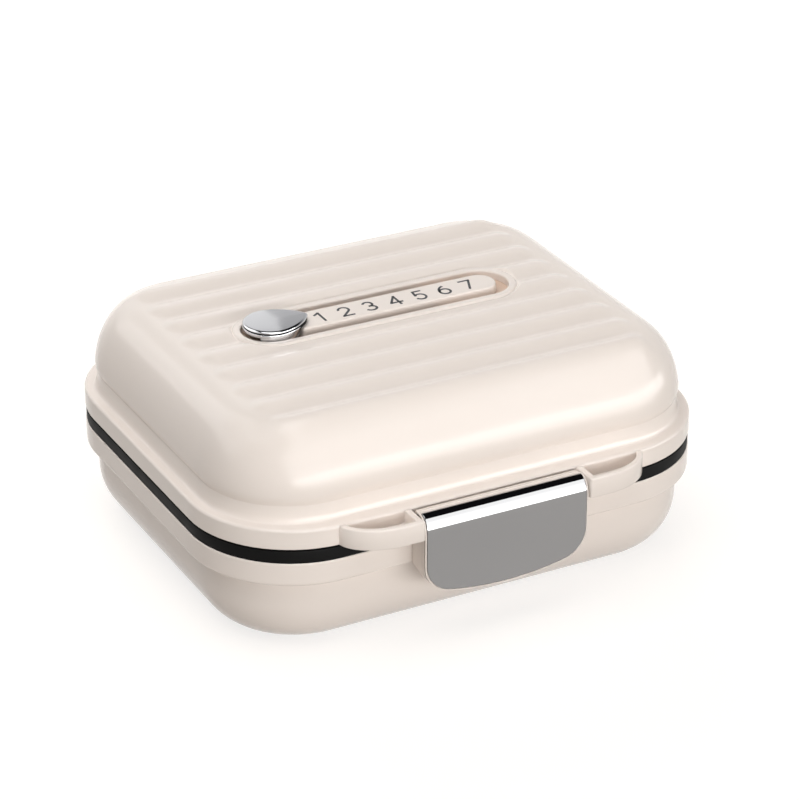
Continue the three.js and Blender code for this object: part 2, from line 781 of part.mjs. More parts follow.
// Slider clip: plate under the recess floor that the two legs of the knob snap into
const clipTop = wellBottom - fitGap;
const clipBottom = clipTop - clipThickness;
const clipHalfLength = legHalf + fitGap + clipMargin;
const clipHalfWidth = legOut + legThickness / 2 + fitGap + clipMargin;

function sliderClip() {
  const x0 = knobX - clipHalfLength;
  const x1 = knobX + clipHalfLength;
  let body = box(x0, x1, recessY - clipHalfWidth, recessY + clipHalfWidth, clipBottom, clipTop);
  for (const side of [-1, 1]) {
    const y = recessY + side * legOut;
    const half = legThickness / 2 + fitGap;
    const reach = legHalf + fitGap;
    const foot = wellBottom - legBelowFloor - fitGap;
    body = body.subtract(box(knobX - reach, knobX + reach, y - half, y + half, foot, clipTop + lapIn));
  }
  return body;
}

add('slider_clip', sliderClip(), mechanism);

// Detent spring: bowed steel leaf on the clip that rides along the rack
function detentSpring() {
  const foot = recessY + clipHalfWidth;
  const innerHalf = legHalf - springThickness;
  const innerReach = springReach - springThickness;
  const outer = arc(knobX, foot, legHalf, springReach, Math.PI, 0, filletSteps * 2);
  const inner = arc(knobX, foot, innerHalf, innerReach, 0, Math.PI, filletSteps * 2);
  const middle = (clipBottom + clipTop) / 2;
  return prismZ([...outer, ...inner], middle - springHeight / 2, middle + springHeight / 2);
}

add('detent_spring', detentSpring(), steel);

// Detent rack: toothed bar under the recess with one notch for each day
function detentRack() {
  const toothY = recessY + clipHalfWidth + springReach + fitGap;
  const x0 = knobX - rackEndMargin;
  const x1 = knobX + travel + rackEndMargin;
  const outline = [new THREE.Vector2(x0, toothY)];
  for (let day = 0; day < dayCount; day++) {
    const x = knobX + day * dayPitch;
    outline.push(new THREE.Vector2(x - rackNotchHalf, toothY));
    outline.push(new THREE.Vector2(x, toothY + rackNotchDepth));
    outline.push(new THREE.Vector2(x + rackNotchHalf, toothY));
  }
  outline.push(new THREE.Vector2(x1, toothY));
  outline.push(new THREE.Vector2(x1, toothY + rackWidth));
  outline.push(new THREE.Vector2(x0, toothY + rackWidth));
  return prismZ(outline, wellBottom - rackHeight, wellBottom);
}

add('detent_rack', detentRack(), mechanism);

// Latch plate outline: straight sides, round lower corners and a lower edge on one wide arc.
// The wide arc meets each corner arc where the two share a tangent.
function plateOutline(grow, top) {
  const half = plateHalfWidth + grow;
  const radius = plateCornerRadius + grow;
  const bottom = plateBottomZ - grow;
  const cornerX = half - radius;
  const cornerUp = radius + plateBottomRise;
  const wide = (cornerX ** 2 + cornerUp ** 2 - radius ** 2) / (2 * plateBottomRise);
  const lean = Math.atan2(cornerX, wide - cornerUp);
  const right = arc(cornerX, bottom + cornerUp, radius, radius, 0, lean - Math.PI / 2, cornerSteps);
  const edge = arc(0, bottom + wide, wide, wide, lean - Math.PI / 2, -lean - Math.PI / 2, cornerSteps);
  const left = right.map((point) => new THREE.Vector2(-point.x, point.y)).reverse();
  return [
    new THREE.Vector2(half, top),
    ...right,
    ...edge.slice(1, -1),
    ...left,
    new THREE.Vector2(-half, top),
  ];
}

// Latch lever: cream lever on the pin, with a lip behind the bend of its plate, cheeks at its ends
// and a claw under the base flange
function latchLever() {
  const leverFront = -latchFrontY + plateThickness;
  const skinBack = leverFront + leverSkin;
  const half = leverHalfWidth;
  const barrel = latchBendRadius - plateThickness - fitGap;
  let body = prismY(plateOutline(leverRim, latchPinZ), leverFront, skinBack);
  body = body.add(barX(barrel, -half, half, latchPinY, latchPinZ));
  const lipStart = latchPinY + fitGap;
  const lip = barX(leverLipRadius, -half, half, latchPinY, latchPinZ);
  body = body.add(lip.intersect(box(-half, half, lipStart, lipStart + leverLipWidth, latchPinZ, latchTopZ)));
  const cheekBack = -rimHalfY - fitGap;
  const cheekBottom = baseFlangeBottom + cheekAboveFlangeBottom;
  const cheekTop = lidBottom - cheekBelowLid;
  for (const side of [-1, 1]) {
    const x0 = side > 0 ? half - cheekWidth : -half;
    body = body.add(box(x0, x0 + cheekWidth, leverFront + lapIn, cheekBack, cheekBottom, cheekTop));
  }
  const clawTop = baseFlangeBottom - fitGap;
  const clawBottom = clawTop - clawHeight;
  const clawTip = -bodyHalfY - clawTipGap;
  body = body.add(box(-clawHalfWidth, clawHalfWidth, leverFront + lapIn, clawTip, clawBottom, clawTop));
  const webTop = clawTop + clawWeb;
  body = body.add(box(-clawHalfWidth, clawHalfWidth, leverFront + lapIn, cheekBack, clawTop - lapIn, webTop));
  return body.subtract(barX(latchPinRadius + fitGap, -half - lapIn, half + lapIn, latchPinY, latchPinZ));
}

add('latch_lever', latchLever(), glossShell);

// Latch plate: chromed cover on the front of the lever, bent back over its top
function latchPlate() {
  const front = -latchFrontY;
  const inside = latchBendRadius - plateThickness;
  const bend = [
    ...arc(latchPinY, latchPinZ, latchBendRadius, latchBendRadius, Math.PI, Math.PI / 2, cornerSteps),
    ...arc(latchPinY, latchPinZ, inside, inside, Math.PI / 2, Math.PI, cornerSteps),
  ];
  const cover = prismY(plateOutline(0, latchPinZ), front, front + plateThickness);
  return cover.add(prismX(bend, -plateHalfWidth, plateHalfWidth));
}

add('latch_plate', latchPlate(), chrome);

// Latch pin: thin steel rod held in the end walls of the two ears
const latchPinHalf = earInnerX + latchPinHoleDepth - fitGap;
add('latch_pin', barX(latchPinRadius, -latchPinHalf, latchPinHalf, latchPinY, latchPinZ), steel);

export default organizer;
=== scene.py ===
import bpy
import numpy as np
from mathutils import Matrix


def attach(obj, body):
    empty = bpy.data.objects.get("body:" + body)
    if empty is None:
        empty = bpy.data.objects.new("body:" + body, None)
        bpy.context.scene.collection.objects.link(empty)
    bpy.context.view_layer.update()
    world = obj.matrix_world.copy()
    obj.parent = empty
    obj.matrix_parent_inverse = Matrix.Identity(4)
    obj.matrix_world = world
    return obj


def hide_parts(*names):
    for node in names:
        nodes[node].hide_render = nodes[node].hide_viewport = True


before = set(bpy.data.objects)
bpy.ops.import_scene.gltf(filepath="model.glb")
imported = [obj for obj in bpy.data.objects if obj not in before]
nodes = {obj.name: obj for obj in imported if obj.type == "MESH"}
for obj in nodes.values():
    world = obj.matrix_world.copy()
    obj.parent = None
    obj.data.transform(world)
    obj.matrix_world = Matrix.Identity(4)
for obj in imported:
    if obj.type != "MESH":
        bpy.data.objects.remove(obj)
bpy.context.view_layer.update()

MM = 0.001

# Camera
# The place and direction from which the photograph was taken, fitted to the edges of the rim and the
# seal: 27.7 degrees to the left of the front and 26.8 degrees above, through a long lens.
CAMERA_PLACE = (-0.26935, -0.52006, 0.32339)
CAMERA_TURN, CAMERA_RISE = -27.700, 26.828
CAMERA_ROLL = np.radians(0.075)


def axes_from(turn, rise):
    """The level axis to the right and the axis back from the case, seen from a turn in degrees from the
    front and a rise in degrees above the table."""
    turn, rise = np.radians(turn), np.radians(rise)
    back = np.array([np.sin(turn) * np.cos(rise), -np.cos(turn) * np.cos(rise), np.sin(rise)])
    return np.array([np.cos(turn), np.sin(turn), 0.0]), back


def matrix_of(place, right, back):
    """The matrix of an object at a place with its x axis to the right and its z axis back."""
    axes = Matrix(np.stack([right, np.cross(back, right), back], 1).tolist())
    return Matrix.Translation(place) @ axes.to_4x4()


def added(name, data):
    """A new object in the scene."""
    made = bpy.data.objects.new(name, data)
    bpy.context.scene.collection.objects.link(made)
    return made


level_right, camera_back = axes_from(CAMERA_TURN, CAMERA_RISE)
level_up = np.cross(camera_back, level_right)
camera_right = np.cos(CAMERA_ROLL) * level_right + np.sin(CAMERA_ROLL) * level_up
camera_data = bpy.data.cameras.new("camera")
camera_data.sensor_width = 36.0
camera_data.lens = 140.32
camera_data.clip_start = 0.01
camera_data.clip_end = 20.0
camera = added("camera", camera_data)
camera.matrix_world = matrix_of(CAMERA_PLACE, camera_right, camera_back)
bpy.context.scene.camera = camera
bpy.context.scene.view_settings.view_transform = "Standard"


# Studio room
# A pale room with a little even light from all round. The camera sees it white. Metal sees it white at
# the horizon and dark overhead, as a studio's ceiling is above the lamps.
AMBIENT = 0.15
SOFT_WHITE = (1.0, 0.985, 0.965)


def seen_rays(tree):
    """The largest of three Light Path values: 1 for a ray from the camera, from metal or through glass,
    and 0 for light that falls on a surface. Gives the Light Path node and the socket with that value."""
    rays = tree.nodes.new("ShaderNodeLightPath")
    seen = rays.outputs["Is Camera Ray"]
    for kind in ("Is Glossy Ray", "Is Transmission Ray"):
        larger = tree.nodes.new("ShaderNodeMath")
        larger.operation = "MAXIMUM"
        tree.links.new(seen, larger.inputs[0])
        tree.links.new(rays.outputs[kind], larger.inputs[1])
        seen = larger.outputs["Value"]
    return rays, seen


def set_stops(ramp, *stops):
    """Sets the stops of a colour ramp in rising order, each a position and a colour."""
    for stop, (position, colour) in zip(ramp.elements, stops):
        stop.position = position
        stop.color = (*colour, 1.0)


world = bpy.data.worlds.new("studio_room")
bpy.context.scene.world = world
world.use_nodes = True
room = world.node_tree
room.nodes.clear()
room_out = room.nodes.new("ShaderNodeOutputWorld")
room_mix = room.nodes.new("ShaderNodeMixShader")
room_light = room.nodes.new("ShaderNodeBackground")
room_light.inputs["Color"].default_value = (*SOFT_WHITE, 1.0)
room_light.inputs["Strength"].default_value = AMBIENT
room_shown = room.nodes.new("ShaderNodeBackground")
room_direction = room.nodes.new("ShaderNodeTexCoord")
room_height = room.nodes.new("ShaderNodeSeparateXYZ")
room_ramp = room.nodes.new("ShaderNodeValToRGB")
room_stops = ((0.0, (1.0, 1.0, 1.0)), (0.50, (0.56, 0.56, 0.57)), (0.62, (0.012, 0.012, 0.014)))
room_ramp.color_ramp.elements.new(0.50)
set_stops(room_ramp.color_ramp, *room_stops)
room_rays, room_seen = seen_rays(room)
room_white = room.nodes.new("ShaderNodeMix")
room_white.data_type = "RGBA"
room_white.inputs["B"].default_value = (1.0, 1.0, 1.0, 1.0)
room.links.new(room_direction.outputs["Generated"], room_height.inputs["Vector"])
room.links.new(room_height.outputs["Z"], room_ramp.inputs["Fac"])
room.links.new(room_rays.outputs["Is Camera Ray"], room_white.inputs["Factor"])
room.links.new(room_ramp.outputs["Color"], room_white.inputs["A"])
room.links.new(room_white.outputs["Result"], room_shown.inputs["Color"])
room.links.new(room_seen, room_mix.inputs["Fac"])
room.links.new(room_light.outputs["Background"], room_mix.inputs[1])
room.links.new(room_shown.outputs["Background"], room_mix.inputs[2])
room.links.new(room_mix.outputs["Shader"], room_out.inputs["Surface"])


# Soft boxes
# Five broad ones light the case: two low in front, one above, one above on the left and one low behind,
# which models the ribs. Five more are only seen in the gloss: the white band on the bent latch plate,
# the shine low on the base and on the lid's left shoulder, and the rim and the face of the knob.
LAMP_AIM = np.array([0.0, 0.0, 0.03])


def soft_box(name, turn, rise, distance, width, height, power):
    """A rectangular lamp of a width and height in metres and a power in watts, at a turn in degrees from
    the front, a rise above the table and a distance. It faces the point LAMP_AIM."""
    data = bpy.data.lights.new(name, "AREA")
    data.shape = "RECTANGLE"
    data.size = width
    data.size_y = height
    data.energy = power
    lamp = added(name, data)
    right, back = axes_from(turn, rise)
    lamp.matrix_world = matrix_of(back * distance + LAMP_AIM, right, back)
    lamp.visible_camera = False
    return lamp


for lamp in (
    soft_box("left_front_box", -16.0, 8.0, 1.2, 1.0, 0.5, 4.8),
    soft_box("right_front_box", 15.0, 8.0, 1.2, 1.0, 0.5, 6.1),
    soft_box("top_box", 0.0, 88.0, 1.1, 1.0, 1.0, 3.9),
    soft_box("left_box", -90.0, 68.0, 1.1, 0.9, 0.9, 4.3),
    soft_box("back_box", 172.0, 20.0, 1.2, 1.0, 0.8, 8.7),
):
    lamp.visible_glossy = False
    lamp.data.color = SOFT_WHITE
for lamp in (
    soft_box("band_box", 20.0, 28.0, 1.0, 2.1, 1.04, 21.4),
    soft_box("low_box", 27.0, 3.0, 0.24, 0.6, 0.06, 0.6),
    soft_box("rim_box", -35.0, 78.0, 1.0, 0.7, 0.75, 4.4),
    soft_box("shoulder_box", -128.0, 40.0, 1.0, 1.2, 0.9, 6.0),
    soft_box("face_box", 178.0, 28.0, 1.0, 0.722, 0.5, 0.5),
):
    lamp.visible_diffuse = False


# Table
# A plain pale table. It is lit as any surface and takes the case's shadow, and the camera and the metal
# see it whiter by a glow that lights nothing.
TABLE_HALF = 4.0
TABLE_GLOW = 0.74
table_mesh = bpy.data.meshes.new("table")
table_corners = np.array([(-1, -1, 0), (1, -1, 0), (1, 1, 0), (-1, 1, 0)]) * TABLE_HALF
table_mesh.from_pydata(table_corners.tolist(), [], [(0, 1, 2, 3)])
table = added("table", table_mesh)
table_finish = bpy.data.materials.new("table_white")
table_finish.use_nodes = True
table_tree = table_finish.node_tree
table_tree.nodes.clear()
table_out = table_tree.nodes.new("ShaderNodeOutputMaterial")
table_sum = table_tree.nodes.new("ShaderNodeAddShader")
table_diffuse = table_tree.nodes.new("ShaderNodeBsdfDiffuse")
table_diffuse.inputs["Color"].default_value = (0.38, 0.35, 0.32, 1.0)
table_glow = table_tree.nodes.new("ShaderNodeEmission")
table_seen = seen_rays(table_tree)[1]
table_strength = table_tree.nodes.new("ShaderNodeMath")
table_strength.operation = "MULTIPLY"
table_strength.inputs[1].default_value = TABLE_GLOW
table_tree.links.new(table_seen, table_strength.inputs[0])
table_tree.links.new(table_strength.outputs["Value"], table_glow.inputs["Strength"])
table_tree.links.new(table_diffuse.outputs["BSDF"], table_sum.inputs[0])
table_tree.links.new(table_glow.outputs["Emission"], table_sum.inputs[1])
table_tree.links.new(table_sum.outputs["Shader"], table_out.inputs["Surface"])
table_mesh.materials.append(table_finish)


# Base shell
# The lower half of the case, one glossy cream moulding with a rounded foot, a rim flange with a groove
# for the seal, and inside a shelf all round that carries the tray.
RIM_HALF_X, RIM_HALF_Y, RIM_CORNER = 56.0, 47.05, 22.7
RIM_COUNTS = {"sides": (30, 34), "bend": 20}


def at_height(flat, z):
    """Loops in space from outlines of x and y values, with a height for each outline."""
    height = np.asarray(z, float)[..., None, None]
    return np.concatenate([flat, np.broadcast_to(height, flat.shape[:-1] + (1,))], -1)


def rounded_loops(half_x, half_y, corner, z, sides, bend):
    """Rounded rectangles, one for each value: four corner arcs, each a centre plus corner times (cos, sin),
    joined by straight sides. Counter-clockwise from the front right corner. Returns loops x points x 3."""
    values = [np.atleast_1d(value) for value in (half_x, half_y, corner, z)]
    half_x, half_y, corner, z = np.broadcast_arrays(*values)
    turn = np.linspace(0.0, np.pi / 2, bend + 1)
    arcs = []
    for k, (sx, sy) in enumerate([(1, -1), (1, 1), (-1, 1), (-1, -1)]):
        angle = (k - 1) * np.pi / 2 + turn
        x = sx * (half_x - corner)[:, None] + corner[:, None] * np.cos(angle)
        y = sy * (half_y - corner)[:, None] + corner[:, None] * np.sin(angle)
        arcs.append(np.stack([x, y], -1))
    parts = []
    for k in range(4):
        share = np.linspace(0.0, 1.0, sides[k % 2] + 1)[1:-1, None]
        start, end = arcs[k][:, -1:], arcs[(k + 1) % 4][:, :1]
        parts += [arcs[k], start * (1 - share) + end * share]
    return at_height(np.concatenate(parts, 1), z)


def rim_loops(inset, z, **counts):
    """The rim's outline moved in by an inset. Between the flange and the body the depth lags 0.15 mm."""
    lag = 0.15 * np.clip(inset / 2.4, 0.0, 1.0)
    depth = RIM_HALF_Y - inset + lag
    return rounded_loops(RIM_HALF_X - inset, depth, RIM_CORNER - inset + lag / 2, z, **counts)


def bend_of(start, end, first, steps=6):
    """A quarter ellipse between two profile points. It leaves the first one level or upright."""
    start, end = np.array(start, float), np.array(end, float)
    turn = np.linspace(0.0, np.pi / 2, steps + 1)[:, None]
    quick, slow = np.sin(turn), 1.0 - np.cos(turn)
    share = np.concatenate([quick, slow] if first == "level" else [slow, quick], 1)
    return start + (end - start) * share


def profile(*parts):
    """Profile points in order. Each long straight part gets two more points near its ends, which keep
    the shading of the flat between two rounded edges even."""
    points = np.concatenate([np.atleast_2d(np.array(part, float)) for part in parts])
    steps = np.linalg.norm(np.diff(points, axis=0), axis=1)
    points = points[np.concatenate([[True], steps > 1e-6])]
    kept = [points[0]]
    for a, b in zip(points[:-1], points[1:]):
        length = np.linalg.norm(b - a)
        if length > 1.2:
            kept += [a + (b - a) * 0.25 / length, b - (b - a) * 0.25 / length]
        kept.append(b)
    return np.array(kept)


def smooth_mesh(points, quads, fans=()):
    """A smooth mesh of quads and triangles, in metres. All are turned round if the volume inside, the sum
    of a . (b x c) / 6 over its triangles, is negative."""
    fans = np.reshape(fans, (-1, 3)).astype(int)
    corners = np.concatenate([quads[:, [0, 1, 2]], quads[:, [0, 2, 3]], fans])
    a, b, c = (points[corners[:, k]] for k in range(3))
    order = -1 if np.einsum("ij,ij->i", a, np.cross(b, c)).sum() < 0 else 1
    mesh = bpy.data.meshes.new("surface")
    mesh.from_pydata(points.tolist(), [], quads[:, ::order].tolist() + fans[:, ::order].tolist())
    mesh.polygons.foreach_set("use_smooth", np.ones(len(mesh.polygons), bool))
    mesh.update()
    return mesh


def shell_mesh(loops, wrap=False):
    """A closed surface through loops of equal length, in millimetres. Quads join each loop to the next.
    With wrap they also join the last loop to the first, otherwise a fan to its middle closes each end."""
    loops = np.asarray(loops, float)
    levels, count = loops.shape[:2]
    points = loops.reshape(-1, 3) * MM
    here = np.arange(count)
    after = (here + 1) % count
    rows = np.arange(levels if wrap else levels - 1)[:, None]
    low, high = rows * count, (rows + 1) % levels * count
    quads = np.stack([low + here, low + after, high + after, high + here], -1).reshape(-1, 4)
    fans = []
    for loop, order in () if wrap else ((0, 1), (levels - 1, -1)):
        points = np.concatenate([points, loops[loop].mean(0, keepdims=True) * MM])
        pole = np.full(count, len(points) - 1)
        fans.append(np.stack([pole, loop * count + after, loop * count + here], -1)[:, ::order])
    return smooth_mesh(points, quads, fans)


def piece(name, mesh, material, body, slot, *replaced):
    """A finished mesh as a named piece with its material, riding on a body and standing for CAD nodes."""
    mesh.name = name
    mesh.materials.append(material)
    made = added(name, mesh)
    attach(made, body)
    if replaced:
        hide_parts(*replaced)


def textured(name, pale, deep, rough, spread, cloud, grain, lift, metal=0.0, gloss=0.5, stretch=(1, 1, 1)):
    """A finish with three patterns in object coordinates. A noise with clouds of 1 / cloud metres shifts
    the colour between pale and deep, one six times finer moves the roughness by spread either way, and
    one with grains of 1 / grain metres lifts the surface by lift metres. gloss is the specular level."""
    material = bpy.data.materials.new(name)
    material.use_nodes = True
    tree = material.node_tree
    shader = tree.nodes["Principled BSDF"]
    shader.inputs["Metallic"].default_value = metal
    shader.inputs["Specular IOR Level"].default_value = gloss
    place = tree.nodes.new("ShaderNodeTexCoord")
    scaled = tree.nodes.new("ShaderNodeMapping")
    scaled.inputs["Scale"].default_value = stretch
    tree.links.new(place.outputs["Object"], scaled.inputs["Vector"])
    patterns = []
    for scale, detail in ((cloud, 2.0), (cloud * 6.0, 3.0), (grain, 2.0)):
        noise = tree.nodes.new("ShaderNodeTexNoise")
        noise.inputs["Scale"].default_value = scale
        noise.inputs["Detail"].default_value = detail
        tree.links.new(scaled.outputs["Vector"], noise.inputs["Vector"])
        patterns.append(noise.outputs["Fac"])
    colour = tree.nodes.new("ShaderNodeValToRGB")
    set_stops(colour.color_ramp, (0.35, deep), (0.65, pale))
    tree.links.new(patterns[0], colour.inputs["Fac"])
    tree.links.new(colour.outputs["Color"], shader.inputs["Base Color"])
    sheen = tree.nodes.new("ShaderNodeMapRange")
    sheen.inputs["From Min"].default_value = 0.3
    sheen.inputs["From Max"].default_value = 0.7
    sheen.inputs["To Min"].default_value = rough - spread
    sheen.inputs["To Max"].default_value = rough + spread
    tree.links.new(patterns[1], sheen.inputs["Value"])
    tree.links.new(sheen.outputs["Result"], shader.inputs["Roughness"])
    bump = tree.nodes.new("ShaderNodeBump")
    bump.inputs["Strength"].default_value = 1.0
    bump.inputs["Distance"].default_value = lift
    tree.links.new(patterns[2], bump.inputs["Height"])
    tree.links.new(bump.outputs["Normal"], shader.inputs["Normal"])
    return material


CREAM = (0.865, 0.795, 0.745)
CREAM_DEEP = (0.858, 0.786, 0.734)
cream_gloss = textured("cream_gloss", CREAM, CREAM_DEEP, 0.17, 0.02, 28.0, 420.0, 1.2e-6, gloss=0.31)
base_profile = profile(
    (11.9, 0.0),
    bend_of((11.9, 0.0), (2.4, 10.7), "level", 14),
    (2.4, 16.0),
    bend_of((2.4, 16.0), (1.9, 16.5), "upright", 4),
    (0.6, 16.5),
    bend_of((0.6, 16.5), (0.0, 17.1), "level", 6),
    (0.0, 21.3),
    bend_of((0.0, 21.3), (0.3, 21.6), "upright", 5),
    (1.0, 21.6),
    (1.20, 21.85),
    (1.25, 21.80),
    (1.25, 20.50),
    (2.85, 20.50),
    (2.85, 21.80),
    (2.90, 21.85),
    bend_of((3.8, 21.85), (4.2, 21.45), "level", 4),
    (4.2, 20.2),
    (4.35, 20.05),
    bend_of((5.8, 20.05), (6.1, 19.75), "level", 4),
    (6.1, 18.4),
    (5.9, 18.25),
    (4.2, 18.25),
    (4.2, 10.7),
    bend_of((4.2, 10.7), (11.9, 2.0), "upright", 12),
)
base_mesh = shell_mesh(rim_loops(*base_profile.T, **RIM_COUNTS))
piece("base_shell_moulding", base_mesh, cream_gloss, "base", "cream_shell", "base_shell")


# Seal ring
# A band of smooth black silicone between the two rims. A tongue on its underside sits in the groove of
# the base, and its outer face is slightly crowned where it is pressed.
BLACK = (0.007, 0.007, 0.007)
BLACK_DEEP = (0.0055, 0.0055, 0.0055)
black_silicone = textured("black_silicone", BLACK, BLACK_DEEP, 0.5, 0.05, 40.0, 900.0, 6e-6, gloss=0.05)
seal_profile = profile(
    bend_of((0.34, 21.55), (0.14, 21.75), "level", 4),
    (0.10, 23.07),
    bend_of((0.14, 24.05), (0.40, 24.3), "upright", 4),
    bend_of((3.3, 24.3), (3.6, 24.0), "level", 4),
    bend_of((3.6, 22.15), (3.3, 21.85), "upright", 4),
    (2.55, 21.85),
    (2.55, 20.75),
    (1.55, 20.75),
    (1.55, 21.85),
)
seal_mesh = shell_mesh(rim_loops(*seal_profile.T, **RIM_COUNTS), True)
piece("seal_band", seal_mesh, black_silicone, "base", "black_silicone", "seal_ring")


# Hinge knuckles
# Cream sleeves at the back, moulded on to the rims: the base has the two outer ones and the lid the
# middle one. Their outline is a circle round the pin that runs over into a short web.
HINGE_Y, HINGE_Z = 50.2, 23.2
KNUCKLE_RADIUS, KNUCKLE_HOLE, KNUCKLE_EDGE = 2.6, 1.15, 0.35
KNUCKLE_ROOT_Y = 46.7


def arc_points(x, y, radius_x, radius_y, start, end, steps=24):
    """Points of an ellipse arc between two angles in degrees."""
    turn = np.radians(np.linspace(start, end, steps))
    return np.column_stack([x + radius_x * np.cos(turn), y + radius_y * np.sin(turn)])


def rounded_ends(low, high, edge, steps=4):
    """Places from low to high and how far an outline is drawn in at each: a quarter circle at both ends,
    where the place is edge (1 - sin t) from the end and the inset is edge (1 - cos t)."""
    turn = np.linspace(0.0, np.pi / 2, steps)
    along, inset = edge * (1 - np.sin(turn)), edge * (1 - np.cos(turn))
    return [*zip(low + along[::-1], inset[::-1]), *zip(high - along, inset)]


def knuckle_mesh(x0, x1, web_low, web_high):
    """A sleeve along X: an outline of a circle and its web, round a hole for the pin. The outline is
    drawn in over the rounded ends. The loops run out, along, and back through the hole."""
    up = web_high > HINGE_Z
    side = 1.0 if up else -1.0
    rise = abs((web_low if up else web_high) - HINGE_Z)
    meet = np.arcsin(np.clip(rise / KNUCKLE_RADIUS, -1, 1))
    last = -180.0 - np.degrees(meet)
    circle = arc_points(0, 0, KNUCKLE_RADIUS, KNUCKLE_RADIUS * side, 90, last, 60)
    root = KNUCKLE_ROOT_Y - HINGE_Y
    far = np.array([[root, rise * side], [root, KNUCKLE_RADIUS * side]])
    web_in = circle[-1] + (far[0] - circle[-1]) * np.linspace(0.2, 1.0, 8)[:, None]
    web_out = far[1] + (circle[0] - far[1]) * np.linspace(0.0, 0.9, 10)[:, None]
    outline = np.concatenate([circle, web_in, web_out])
    hole = arc_points(0, 0, KNUCKLE_HOLE, KNUCKLE_HOLE * side, 90, -270, len(outline) + 1)[:-1]
    sleeve = [(x, outline, inset) for x, inset in rounded_ends(x0, x1, KNUCKLE_EDGE, 5)]
    stages = [(x0, hole, 0.0), *sleeve, (x1, hole, 0.0)]
    outward = outline - outline.mean(0)
    outward /= np.linalg.norm(outward, axis=1, keepdims=True)
    loops = []
    for x, shape, inset in stages:
        section = shape - outward * inset + (HINGE_Y, HINGE_Z)
        loops.append(np.column_stack([np.full(len(section), x), section]))
    return shell_mesh(loops, True)


for side_name, x0, x1 in (("left", -22.9, -12.3), ("right", 12.3, 22.9)):
    name = "base_knuckle_" + side_name
    piece(name, knuckle_mesh(x0, x1, 20.6, 21.85), cream_gloss, "base", "cream_shell")
piece("lid_knuckle", knuckle_mesh(-12.0, 12.0, 24.6, 25.8), cream_gloss, "lid", "cream_shell")


# Hinge pin
# A drawn steel rod with chamfered ends, pushed through the three knuckles. Its fine draw marks run along
# it.
ROD_CHAMFER = 0.2


def rod_mesh(radius, half_length, y, z, points=32):
    """A rod along X: four circles, each (y, z) plus a radius times (cos, sin). The first and the last are
    smaller by the chamfer."""
    x = np.array([-half_length, ROD_CHAMFER - half_length, half_length - ROD_CHAMFER, half_length])[:, None]
    r = radius - ROD_CHAMFER * np.array([1.0, 0.0, 0.0, 1.0])[:, None]
    turn = np.linspace(0, 2 * np.pi, points, endpoint=False)
    return shell_mesh(np.stack([x + 0.0 * turn, y + r * np.cos(turn), z + r * np.sin(turn)], -1))


STEEL = (0.62, 0.63, 0.64)
STEEL_DEEP = (0.55, 0.56, 0.57)
DRAWN_ALONG_X = (0.08, 1.0, 1.0)
drawn_steel = textured(
    "drawn_steel", STEEL, STEEL_DEEP, 0.26, 0.07, 60.0, 3000.0, 3e-6, metal=1.0, stretch=DRAWN_ALONG_X,
)
piece("hinge_rod", rod_mesh(0.9, 22.6, HINGE_Y, HINGE_Z), drawn_steel, "base", "pin_steel", "hinge_pin")


# Compartment tray
# A satin cream tub that lifts out. Its collar rests on the shelf of the base and its rim is rounded.
SATIN = (0.86, 0.80, 0.755)
SATIN_DEEP = (0.845, 0.782, 0.735)
cream_satin = textured("cream_satin", SATIN, SATIN_DEEP, 0.42, 0.03, 30.0, 1600.0, 6e-6)
tray_profile = profile(
    (13.5, 2.4),
    bend_of((13.5, 2.4), (7.0, 9.9), "level", 10),
    (7.0, 19.8),
    (6.75, 20.05),
    bend_of((4.75, 20.05), (4.5, 20.3), "level", 3),
    bend_of((4.5, 21.3), (4.75, 21.55), "upright", 3),
    (6.7, 21.55),
    (7.0, 21.85),
    bend_of((7.0, 33.5), (7.7, 34.2), "upright", 5),
    bend_of((7.9, 34.2), (8.6, 33.5), "level", 5),
    (8.6, 9.9),
    bend_of((8.6, 9.9), (13.5, 3.9), "upright", 10),
)
tray_mesh = shell_mesh(rim_loops(*tray_profile.T, sides=(20, 24), bend=16))
piece("tray_moulding", tray_mesh, cream_satin, "base", "cream_inner", "compartment_tray")


# Dividers
# Thin satin cream walls pushed down into the tray: one long one, and cross walls that part the front
# row into four cells and the back row into three. Their edges are rounded.
LONG_WALL_Y, LONG_WALL_THICK, LONG_WALL_REACH = 5.514, 2.2, 47.4
CROSS_WALL_THICK, CROSS_WALL_REACH = 1.2, 38.6
WALL_TOP = 34.1


def wall_mesh(outline, axis, low, high, edge):
    """A flat wall: an outline of along and up values, drawn out from low to high across an axis.
    Its edges are rounded by moving the outline in by edge."""
    outline = np.array(outline, float)
    away = outline - outline.mean(0)
    loops = []
    for across, inset in rounded_ends(low, high, edge):
        moved = outline - np.sign(away) * np.minimum(np.abs(away), inset)
        loops.append(np.insert(moved, 1 if axis == "y" else 0, across, axis=1))
    return shell_mesh(loops)


def wall_end(reach):
    """The foot, the slope over the tray's rounded corner and the edge of a wall that ends at a reach."""
    foot = bend_of((reach - 5.2, 3.95), (reach + 0.1, 9.9), "level", 6) + np.array([-0.15, 0.1])
    return np.concatenate([foot, [(reach + 0.2, 12.0), (reach + 0.2, WALL_TOP)]])


